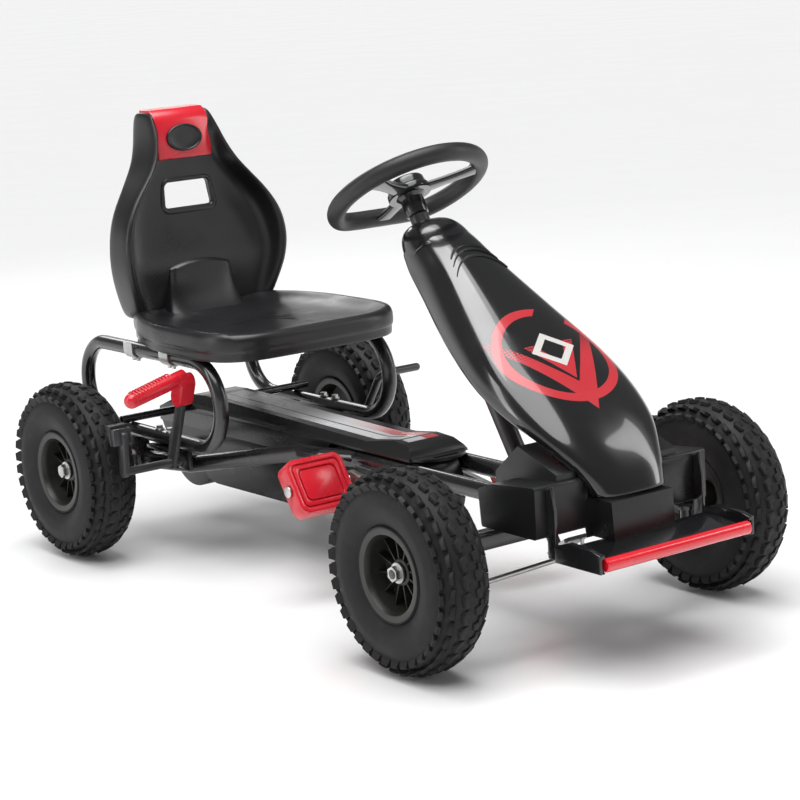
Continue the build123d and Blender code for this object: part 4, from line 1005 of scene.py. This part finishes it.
def pan():
    outline = closed_curve([(x * mm, pan_front + y * mm, 0) for x, y in pan_outline], 112)
    centre = Vector((0, pan_front + 0.180, 0))
    foot, rim = pan_low.z, pan_high.z
    profile = [     # inset, height
        (0.150, foot + 0.020), (0.060, foot + 0.020), (0.012, foot + 0.018), (0.0085, foot + 0.010),
        (0.0085, foot + 0.0005), (0.0035, foot + 0.0005), (0.0032, foot + 0.004), (0.0030, foot + 0.0125),
        (0.0022, foot + 0.0145), (0.0006, foot + 0.0155), (0.0003, foot + 0.024), (0.0008, rim - 0.0100),
        (0.0030, rim - 0.0040), (0.0085, rim - 0.0004), (0.0160, rim - 0.0008), (0.0260, rim - 0.0052),
        (0.0400, rim - 0.0100), (0.0700, rim - 0.0135), (0.1050, rim - 0.0150), (0.1400, rim - 0.0155)]
    rings = []
    for inset, z in profile:
        ring = []
        for p in outline:
            ray = p - centre
            q = centre + ray * max(0.02, 1 - inset / ray.length)
            ring.append((q.x, q.y, z))
        rings.append(ring)
    shell = subdivided(lofted("pan_shell", rings), 1)
    grooves = ((0.066, 0.0032, 0.0016), (0.034, 0.0030, 0.0012))     # across, width, depth
    roll_share, roll_drop = 0.22, 0.0045     # the front edge rolls down a little
    for v in shell.data.vertices:
        if v.co.z < rim - 0.020 or abs(v.co.x) > 0.14:
            continue
        ahead = (v.co.y - pan_front) / (pan_high.y - pan_front)
        across = abs(v.co.x)
        for at, width, deep in grooves:
            along = min(1, max(0, (ahead - 0.10) * 9))
            v.co.z -= deep * math.exp(-((across - at - 0.010 * ahead) / width) ** 2) * along
        if ahead < roll_share:
            v.co.z -= roll_drop * (1 - ahead / roll_share) ** 2
    return shell


seat_pan = dress(shaded(pan(), 50), seat_skin)
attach(seat_pan, "seat")
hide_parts("seat_base")
print("seat pan:", tris(seat_pan), "triangles")


# %% [markdown]
# The red headrest insert folds over the top edge and has a proud oval pad, left plain. The
# insert's flat faces are kept and only their edges are rounded; the pad is a spun oval with a
# rolled rim round a slightly hollow middle.

# %% Headrest insert and oval pad
insert = dress(softened("headrest_insert", 0.0022, 3), red_skin)
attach(insert, "seat")
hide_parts("headrest_insert")
badge_low, badge_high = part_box("headrest_badge")
badge_middle = (badge_low + badge_high) / 2


def oval_pad():
    out = Vector((0, -1, 0.09)).normalized()
    up = Vector((0, 0.09, 1)).normalized()
    profile = [(1.0, -0.0015), (0.99, 0.0009), (0.95, 0.0018), (0.90, 0.0018), (0.85, 0.0008), (0.80, 0.0003),
               (0.4, 0.0006), (0.0, 0.0007)]
    half_x, half_z = (badge_high.x - badge_low.x) / 2, (badge_high.z - badge_low.z) / 2
    base = Vector((0, badge_middle.y, badge_middle.z))
    rings = []
    for scale, lift in profile[:-1]:
        rings.append([base + out * lift + Vector((math.cos(a) * half_x * scale, 0, 0))
                      + up * math.sin(a) * half_z * scale * 0.99 for a in turns(64)])
    return lofted("oval_pad", rings, angle=35)


pad_piece = dress(oval_pad(), seat_skin)
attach(pad_piece, "seat")
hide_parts("headrest_badge")
print("insert:", tris(insert), "pad:", tris(pad_piece))


# %% [markdown]
# # Bonnet and nose
# The bonnet is one long curved sheet. Arches across it are lofted from the column down to the
# nose, then subdivided and given a wall's thickness inwards. Keeping the arches in a function
# means that a detail can be laid on the surface by asking for a place along and across.

# %% The bonnet's skin
bonnet_arches = [
    # crown (y, z), lower edge (y, z), half width: in mm, before the frame's own offset
    ((-150, 503), (-111, 470), 46), ((-176, 489), (-131, 447), 52), ((-214, 463), (-166, 419), 60),
    ((-285, 414), (-240, 368), 82), ((-356, 365), (-320, 323), 100), ((-410, 326), (-383, 292), 100),
    ((-456, 284), (-436, 264), 88), ((-493, 240), (-468, 232), 68), ((-511, 205), (-484, 205), 55),
]
bonnet_table_front = -0.511
bonnet_dy = bonnet_low.y - bonnet_table_front


def arch_at(share):
    """The arch's crown, edge and half width at a share of the way down the bonnet."""
    last = len(bonnet_arches) - 1
    at = min(max(share, 0.0), 0.9999) * last
    i = int(at)
    t = at - i
    near = [bonnet_arches[min(max(i + k, 0), last)] for k in (-1, 0, 1, 2)]
    rows = [(*crown, *edge, half) for crown, edge, half in near]
    mix = [between(*four, t) for four in zip(*rows)]
    crown = Vector((0, mix[0] * mm + bonnet_dy, mix[1] * mm))
    edge = Vector((0, mix[2] * mm + bonnet_dy, mix[3] * mm))
    return crown, edge, mix[4] * mm


shoulder, crown_round = 0.62, 0.72      # 1 is an ellipse; smaller is squarer
skin_inset = 0.0006                     # keeps the sheet within the engineering skin
sheet_wall, cap_wall = 0.0026, 0.0022


def on_bonnet(share, across, lift=0.0):
    """A point on the bonnet: across runs from -1 at the right edge to 1 at the left."""
    crown, edge, half = arch_at(share)
    up = crown - edge
    depth = up.length
    up.normalize()
    a = across * math.pi / 2
    x = half * power(math.sin(a), shoulder)
    rise = depth * power(math.cos(a), crown_round)
    point = edge + up * rise + Vector((x, 0, 0))
    if lift:
        e = 1e-3
        along = on_bonnet(min(share + e, 0.999), across) - on_bonnet(max(share - e, 0), across)
        sideways = on_bonnet(share, min(across + e, 1)) - on_bonnet(share, max(across - e, -1))
        point += sideways.cross(along).normalized() * -lift
    return point


def bonnet_shell(rows=42, columns=40):
    corners = []
    for row in range(rows):
        for col in range(columns + 1):
            corners.append(on_bonnet(row / (rows - 1), -1 + 2 * col / columns) - Vector((0, 0, skin_inset)))
    faces = loft_faces(rows, columns + 1, closed=False)
    sheet = made("bonnet_sheet", corners, faces, outward=False)
    crown_normal = sheet.data.polygons[(rows // 2) * columns + columns // 2].normal
    if crown_normal.z < 0:
        sheet.data.flip_normals()
    sheet.data.update()
    return walled(sheet, sheet_wall, 40)


bonnet = dress(bonnet_shell(), bonnet_skin)
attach(bonnet, "frame")
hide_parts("bonnet")
print("bonnet:", tris(bonnet), "triangles, box", [round(v, 3) for v in bonnet.dimensions])


# %% [markdown]
# At its top the bonnet is closed by a smooth cap that the steering column passes through. It is
# a set of rounded rings square to the column, from a small collar out to the bonnet's own width,
# and its lower edge is scalloped. Three nested chevrons are laid on the crown below it.

# %% Cap round the column, and chevrons
steer_axis = Vector(joints["steering_turn"]["axis"]).normalized()
wheel_hub = pivot("steering_turn")
across_x = Vector((1, 0, 0))
forward = steer_axis.cross(across_x)        # square to the column, towards the driver
if forward.y < 0:
    forward = -forward


def down_column(distance, x=0.0, ahead=0.0):
    return wheel_hub - steer_axis * distance + across_x * x - forward * ahead


def column_cap():
    rows = [    # distance down the column, half width, half depth, ahead of the axis
        (0.0560, 0.0150, 0.0150, 0.000), (0.0545, 0.0180, 0.0170, 0.000), (0.0550, 0.0250, 0.0210, 0.002),
        (0.0600, 0.0340, 0.0280, 0.005), (0.0690, 0.0410, 0.0340, 0.008), (0.0820, 0.0455, 0.0380, 0.011),
        (0.0960, 0.0480, 0.0400, 0.014), (0.1080, 0.0495, 0.0405, 0.017)]
    rings = []
    for index, (distance, half_x, half_y, ahead) in enumerate(rows):
        ring = []
        for a in turns(48):
            scallop = 0.010 * (0.5 - 0.5 * math.cos(3 * a + math.pi / 2)) if index == len(rows) - 1 else 0.0
            point = down_column(distance - scallop, half_x * power(math.cos(a), 0.85), ahead)
            ring.append(point + forward * -half_y * power(math.sin(a), 0.85))
        rings.append(ring)
    sheet = lofted("column_cap", rings, caps=False)
    return walled(sheet, cap_wall, 45)


def chevron(share, reach, drop):
    path = []
    for step in range(-10, 11):
        t = step / 10
        path.append(on_bonnet(share + drop * abs(t) ** 1.4, reach * t, 0.0002))
    return tube("chevron", path, lambda s: 0.0024 * (1 - 0.5 * abs(2 * s - 1) ** 3), sides=12, squash=0.45)


cap_piece = dress(column_cap(), gloss_skin)
marks = [dress(chevron(0.165 + 0.030 * i, 0.26 + 0.04 * i, 0.050), case_skin) for i in range(3)]
bonnet_trim = joined("bonnet_trim", cap_piece, *marks)
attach(bonnet_trim, "frame")
print("bonnet trim:", tris(bonnet_trim), "triangles")


# %% [markdown]
# The nose pods, the deck between the bumper's ends and the two upright blades already have the
# right planes. Real mouldings have no knife edges, so each is a welded copy whose edges are
# rolled over by one to five millimetres. The same is done for the chain case.

# %% Softened cowls
def soften_and_place(node, body, finish, slot, width, segments=3):
    obj = dress(softened(node, width, segments), finish)
    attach(obj, body)
    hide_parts(node)
    return obj


nose = soften_and_place("nose_cowl", "frame", case_skin, "case_plastic", 0.0045, 4)
deck = soften_and_place("front_wing", "frame", gloss_skin, "gloss_black_plastic", 0.0010)
blades = soften_and_place("nose_fins", "frame", gloss_skin, "gloss_black_plastic", 0.0012)
case_top = soften_and_place("chain_cover", "frame", case_skin, "case_plastic", 0.0022)
case_low = soften_and_place("chain_tray", "frame", case_skin, "case_plastic", 0.0016)
print("cowls:", {o.name: tris(o) for o in (nose, deck, blades, case_top, case_low)})


# %% [markdown]
# The sticker on the chain case is a thin film that follows the case's top line. The top line is
# read back from the softened case by taking its highest point at each place along it, so the
# film lies on the case wherever the case is.

# %% Sticker film on the chain case
def top_line(obj, front, rear, half, steps=40):
    """The height of an object's upper face along its middle."""
    tops = []
    bpy.context.view_layer.update()
    for step in range(steps + 1):
        y = front + (rear - front) * step / steps
        hit, place, *_ = obj.ray_cast(Vector((half * 0.3, y, 1.0)), Vector((0, 0, -1)))
        tops.append((y, place.z if hit else tops[-1][1]))
    return tops


def film_strip(line, half, lift=0.00035):
    corners, faces = [], []
    for y, z in line:
        corners += [(-half, y, z + lift), (half, y, z + lift), (half, y, z - lift), (-half, y, z - lift)]
    for i in range(len(line) - 1):
        a, b = 4 * i, 4 * i + 4
        faces += [(a + k, a + (k + 1) % 4, b + (k + 1) % 4, b + k) for k in range(4)]
    faces += [(0, 3, 2, 1), (4 * len(line) - 4, 4 * len(line) - 3, 4 * len(line) - 2, 4 * len(line) - 1)]
    return made("case_sticker", corners, faces, 30)


case_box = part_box("chain_cover")
film_front, film_rear = case_box[0].y + 0.060, case_box[1].y - 0.130
film_half = 0.026
sticker = film_strip(top_line(case_top, film_front, film_rear, film_half), film_half)
dress(sticker, case_film(film_front, film_rear))
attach(sticker, "frame")
print("film from %.3f to %.3f" % (film_front, film_rear))


# %% [markdown]
# # Steering wheel
# The rim is a thick soft grip, round with a flat side nearest the driver. Its radius is the
# smaller of two limits, a circle and a straight line, blended so that the corners stay soft.
# Three gloss spokes flare into it, and a domed boss covers the nut.

# %% Grip, spokes and boss
grip_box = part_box("steering_grip")
grip_big = (grip_box[1].x - grip_box[0].x) / 2
grip_fat = 0.0123
grip_line = grip_big - 0.0125
grip_flat = grip_line * 0.78              # from the middle to the flat side


def on_wheel(x, y, z=0.0):
    """A point on the steering wheel: x across, y towards the driver, z up the column."""
    return wheel_hub + across_x * x + forward * y + steer_axis * z


def grip_radius(angle):
    toward = max(math.sin(angle), 1e-6)
    line = grip_flat / toward
    return (grip_line**-16 + min(1 / line, 40.0) ** 16) ** (-1 / 16) if toward > 0.05 else grip_line


grip_path = [on_wheel(grip_radius(a) * math.cos(a), grip_radius(a) * math.sin(a)) for a in turns(120)]
grip = dress(tube("wheel_grip", grip_path, grip_fat, sides=32, closed=True), grip_skin)
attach(grip, "steering")
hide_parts("steering_grip")


def spoke(angle, reach):
    """A flat arm that narrows in the middle and flares into the grip."""
    rings = []
    along = Vector((math.cos(angle), math.sin(angle)))
    beside = Vector((-along.y, along.x))
    start, thick = 0.016, 0.0042
    for step in range(13):
        t = step / 12
        r = start + (reach - start) * t
        half = 0.0105 + 0.0060 * abs(2 * t - 1) ** 2.2
        ring = []
        for a in turns(20):
            w, h = half * power(math.cos(a), 0.55), thick * power(math.sin(a), 0.55)
            p = along * r + beside * w
            ring.append(on_wheel(p.x, p.y, -0.005 + h))
        rings.append(ring)
    return lofted("spoke", rings, angle=45)


def turned_on_column(name, profile):
    """A (distance up the column, radius) profile turned about the column."""
    def place(up, r, a):
        return on_wheel(r * math.cos(a), r * math.sin(a), up)
    return turned(name, profile, place, 56, 35)


boss = turned_on_column("wheel_boss", [
    (-0.0100, 0.0), (-0.0100, 0.0300), (-0.0080, 0.0304), (-0.0020, 0.0300), (0.0008, 0.0285),
    (0.0020, 0.0270), (0.0100, 0.0262), (0.0128, 0.0240), (0.0138, 0.0200), (0.0132, 0.0120),
    (0.0118, 0.0)])
sleeve = turned_on_column("wheel_sleeve", [
    (-0.0385, 0.0084), (-0.0385, 0.0148), (-0.0370, 0.0152), (-0.0150, 0.0158), (-0.0105, 0.0200),
    (-0.0095, 0.0084), (-0.0385, 0.0084)])
spoke_reach = {90: grip_flat, 210: grip_line, 330: grip_line}
spokes = [spoke(math.radians(degrees), reach) for degrees, reach in spoke_reach.items()]
wheel_middle = joined("wheel_middle", boss, sleeve, *spokes)
dress(wheel_middle, gloss_skin)
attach(wheel_middle, "steering")
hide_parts("steering_spider", "steering_cap")
print("steering wheel:", tris(grip), tris(wheel_middle), "triangles")


# %% [markdown]
# # Tubes, levers and pedals
# The seat's hoops are plain bent tube. The engineering solids are hollow and right in every
# size, so a fresh skin is only drawn for a smoother highlight: straight legs with a half circle
# at each end, swept with many sides.

# %% Hoops and bumper
hoop_radius, hoop_skin = 0.0110, 0.01095


def hoop_path(node):
    low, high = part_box(node)
    x, z = (low.x + high.x) / 2, (low.z + high.z) / 2
    bend = (high.z - low.z) / 2 - hoop_radius
    front, rear = low.y + hoop_radius + bend, high.y - hoop_radius - bend
    path = []
    for y, start in ((rear, math.pi / 2), (front, -math.pi / 2)):
        for step in range(25):
            a = start - math.pi * step / 24
            path.append((x, y + bend * math.cos(a), z + bend * math.sin(a)))
    return path


for side_name in ("left", "right"):
    hoop_node = f"seat_hoop_{side_name}"
    hoop = dress(tube(hoop_node + "_tube", hoop_path(hoop_node), hoop_skin, closed=True), black_enamel)
    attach(hoop, "frame")
    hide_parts(hoop_node)

bar_low, bar_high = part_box("bumper_bar")
bar_r = (bar_high.z - bar_low.z) / 2
bar_c = (bar_low + bar_high) / 2
bar_half = (bar_high.x - bar_low.x) / 2
bar_edge = 0.0015
bumper_profile = [(-bar_half, 0.0), (-bar_half, bar_r - bar_edge), (-bar_half + bar_edge, bar_r),
                  (0.0, bar_r), (bar_half - bar_edge, bar_r), (bar_half, bar_r - bar_edge),
                  (bar_half, 0.0)]
bumper = dress(spun("bumper_tube", bumper_profile, bar_c, steps=48), red_enamel)
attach(bumper, "frame")
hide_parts("bumper_bar")
print("hoops and bumper made")


# %% [markdown]
# Ribs on a grip and studs on a pedal are the same job as the tread, but along a straight line,
# so a second small tree sets copies of one block at equal steps from a start.

# %% A tree that sets a row of blocks along a line
def line_row_tree():
    tree = Tree("row_along_line", {
        "Block": "NodeSocketObject", "Count": "NodeSocketInt", "Start": "NodeSocketVector",
        "Step": "NodeSocketVector", "Turn": "NodeSocketVector", "Material": "NodeSocketMaterial"})
    line = tree.node("GeometryNodeMeshLine", {"mode": "OFFSET"},
                     {"Count": tree.given("Count"), "Start Location": tree.given("Start"),
                      "Offset": tree.given("Step")})
    block = tree.block()
    turn = tree.node("FunctionNodeEulerToRotation", None, {0: tree.given("Turn")})
    tree.copied(line, block, turn)
    return tree


row_along_line = line_row_tree()


def ring_mould(name, radius, fat, steps=36, sides=8):
    """A small torus whose axis is Z."""
    path = [(radius * math.cos(a), radius * math.sin(a), 0) for a in turns(steps)]
    return tube(name, path, fat, sides=sides, closed=True)


print("inputs:", list(row_along_line.idents))


# %% [markdown]
# The brake grip is a red sleeve that starts on the flat bar, turns the elbow and runs out along
# the handle. Its shape is kept from the engineering solid with softer edges, and ribs are set
# along the straight part, square to it.

# %% Brake grip with ribs
grip_low, grip_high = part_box("brake_grip")
elbow_grip = softened("brake_grip", 0.0022, 3)
dress(elbow_grip, red_skin)
handle_in = Vector((grip_high.x - 0.036, grip_low.y + 0.0224, grip_high.z - 0.0140))
handle_out = Vector((grip_low.x + 0.014, grip_low.y + 0.0115, grip_high.z - 0.0270))
along_handle = handle_out - handle_in
rib_mould = ring_mould("mould_grip_rib", 0.0107, 0.0011)
rib_count = 13
ribs = row_along_line.run("grip_ribs", {
    "Block": rib_mould, "Count": rib_count, "Start": handle_in, "Step": along_handle / (rib_count - 1),
    "Turn": Vector(along_handle.to_track_quat("Z", "Y").to_euler()), "Material": red_skin.material})
brake_grip = joined("brake_grip_sleeve", elbow_grip, ribs)
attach(brake_grip, "brake")
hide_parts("brake_grip")
bpy.data.objects.remove(rib_mould)
print("grip ribs:", rib_count)


# %% [markdown]
# The pedals are red mouldings with nested rims. Their grooves are in the engineering solid, so
# the welded copy only needs its edges rolled over. The levers, forks and steel brackets get the
# same treatment with a smaller radius, as forged or folded metal has.

# %% Softened pedals, levers and brackets
soft_nodes = {
    "pedal_left": ("pedal_left", red_skin, "red_plastic", 0.0016),
    "pedal_right": ("pedal_right", red_skin, "red_plastic", 0.0016),
    "brake_lever": ("brake", column_enamel, "column_paint", 0.0010),
    "brake_shoe": ("brake", grip_skin, "grip_rubber", 0.0015),
    "crank": ("crank", zinc, "zinc_steel", 0.0012),
    "front_beam": ("frame", black_enamel, "frame_paint", 0.0010),
    "axle_carriers": ("frame", black_enamel, "frame_paint", 0.0012),
    "hoop_brackets": ("frame", black_enamel, "frame_paint", 0.0008),
    "knuckle_left": ("knuckle_left", black_enamel, "frame_paint", 0.0008),
    "knuckle_right": ("knuckle_right", black_enamel, "frame_paint", 0.0008),
}
for node_name, (body, finish, slot, width) in soft_nodes.items():
    piece = soften_and_place(node_name, body, finish, slot, width, 2)
    print(node_name, tris(piece))


# %% [markdown]
# Everything that is left keeps its engineering mesh and takes a finish on its own material
# slots: the tubes in enamel, the steel in zinc, the bushes in dark plastic.

# %% Finishes for the carried-over pieces
slot_finish = {"frame_paint": black_enamel, "zinc_steel": zinc, "bush_plastic": bush_skin,
               "case_plastic": case_skin, "gloss_black_plastic": gloss_skin, "red_paint": red_enamel,
               "red_plastic": red_skin, "grip_rubber": grip_skin, "column_paint": column_enamel,
               "tyre_rubber": tyre_rubber, "rim_plastic": rim_skin, "seat_plastic": seat_skin}
own_finish = {"chain": chain_steel, "steering_rod": column_enamel, "head_tube": column_enamel,
              "frame_bolts": zinc}
slot_of = {part["node"]: part["material_slot"] for part in frame["record"]["subparts"]}
for node_name, obj in frame["nodes"].items():
    finish = own_finish.get(node_name, slot_finish[slot_of[node_name]])
    if len(obj.material_slots):
        for material_slot in obj.material_slots:
            material_slot.material = finish.material
    else:
        obj.data.materials.append(finish.material)
print("carried over:", sum(1 for o in frame["nodes"].values() if not o.hide_render))


# %% [markdown]
# # Studio
# The set is a plain pale floor that runs far enough to have no edge. One broad source overhead
# lights it evenly, and four soft panels, above, on each side and behind, put highlights on the
# black pieces. The air is white near the horizon and darker overhead, so black stays black. The
# camera stands at the driver's right, ahead of the kart and a little above it.

# %% Floor, lights and camera
def floor():
    size = 60.0
    obj = made("studio_floor", [(-size, -size, 0), (size, -size, 0), (size, size, 0), (-size, size, 0)],
               [(0, 1, 2, 3)])
    finish = Finish("studio_floor", (0.90, 0.90, 0.905), 0.32)
    finish.drive("Roughness", finish.noise(3, 2) * 0.06 + 0.20)
    return dress(obj, finish)


floor()


def panel(name, place, target, size, power_watts):
    light = bpy.data.lights.new(name, "AREA")
    light.shape, light.size, light.size_y = "RECTANGLE", size[0], size[1]
    light.energy = power_watts
    obj = linked(name, light)
    obj.location = place
    obj.rotation_euler = (Vector(target) - Vector(place)).to_track_quat("-Z", "Y").to_euler()
    return obj


kart_middle = (cad_box[0] + cad_box[1]) / 2
panels = {    # place, size, watts
    "panel_above": ((0, 0.2, 2.6), (2.0, 0.8), 20),
    "panel_right": ((-2.6, 0.9, 1.3), (0.5, 2.2), 16),
    "panel_left": ((2.4, -1.6, 1.6), (0.6, 2.0), 16),
    "panel_behind": ((0.8, 2.8, 1.7), (1.6, 0.6), 14),
}
for panel_name, (place, size, watts) in panels.items():
    panel(panel_name, place, kart_middle, size, watts)

sky = bpy.data.lights.new("soft_sky", "SUN")
sky.energy, sky.angle = 3.1, math.radians(60)
sky_object = linked("soft_sky", sky)
sky_object.rotation_euler = (math.radians(8), math.radians(-10), 0)

world = bpy.data.worlds.new("studio_air")
bpy.context.scene.world = world
world.use_nodes = True
air = next(n for n in world.node_tree.nodes if n.type == "BACKGROUND")
air.inputs["Color"].default_value = (1.0, 1.0, 1.0, 1)
toward = world.node_tree.nodes.new("ShaderNodeTexCoord")
height = world.node_tree.nodes.new("ShaderNodeSeparateXYZ")
falloff = world.node_tree.nodes.new("ShaderNodeMapRange")
falloff.interpolation_type = "SMOOTHSTEP"
for socket, value in (("From Min", 0.02), ("From Max", 0.30), ("To Min", 1.05), ("To Max", 0.16)):
    falloff.inputs[socket].default_value = value
world.node_tree.links.new(toward.outputs["Generated"], height.inputs[0])
world.node_tree.links.new(height.outputs["Z"], falloff.inputs["Value"])
world.node_tree.links.new(falloff.outputs["Result"], air.inputs["Strength"])

sensor_mm, focal_mm = 36, 110.1
camera_place = (-1.940, -2.691, 0.933)
camera_data = bpy.data.cameras.new("studio_camera")
camera_data.sensor_width, camera_data.lens = sensor_mm, focal_mm
camera = linked("studio_camera", camera_data)
view_axes = Matrix(((0.800, 0.165, -0.577), (-0.597, 0.129, -0.792), (-0.056, 0.978, 0.202)))
camera.matrix_world = Matrix.Translation(camera_place) @ view_axes.to_4x4()
bpy.context.scene.camera = camera
bpy.context.scene.view_settings.view_transform = "Standard"
print("camera at", tuple(round(v, 3) for v in camera.location))


# %% Measure and finish
def as_numbers(box):
    return [[round(float(v), 5) for v in corner] for corner in box]


bpy.context.view_layer.update()
print("cad box   ", as_numbers(cad_box))
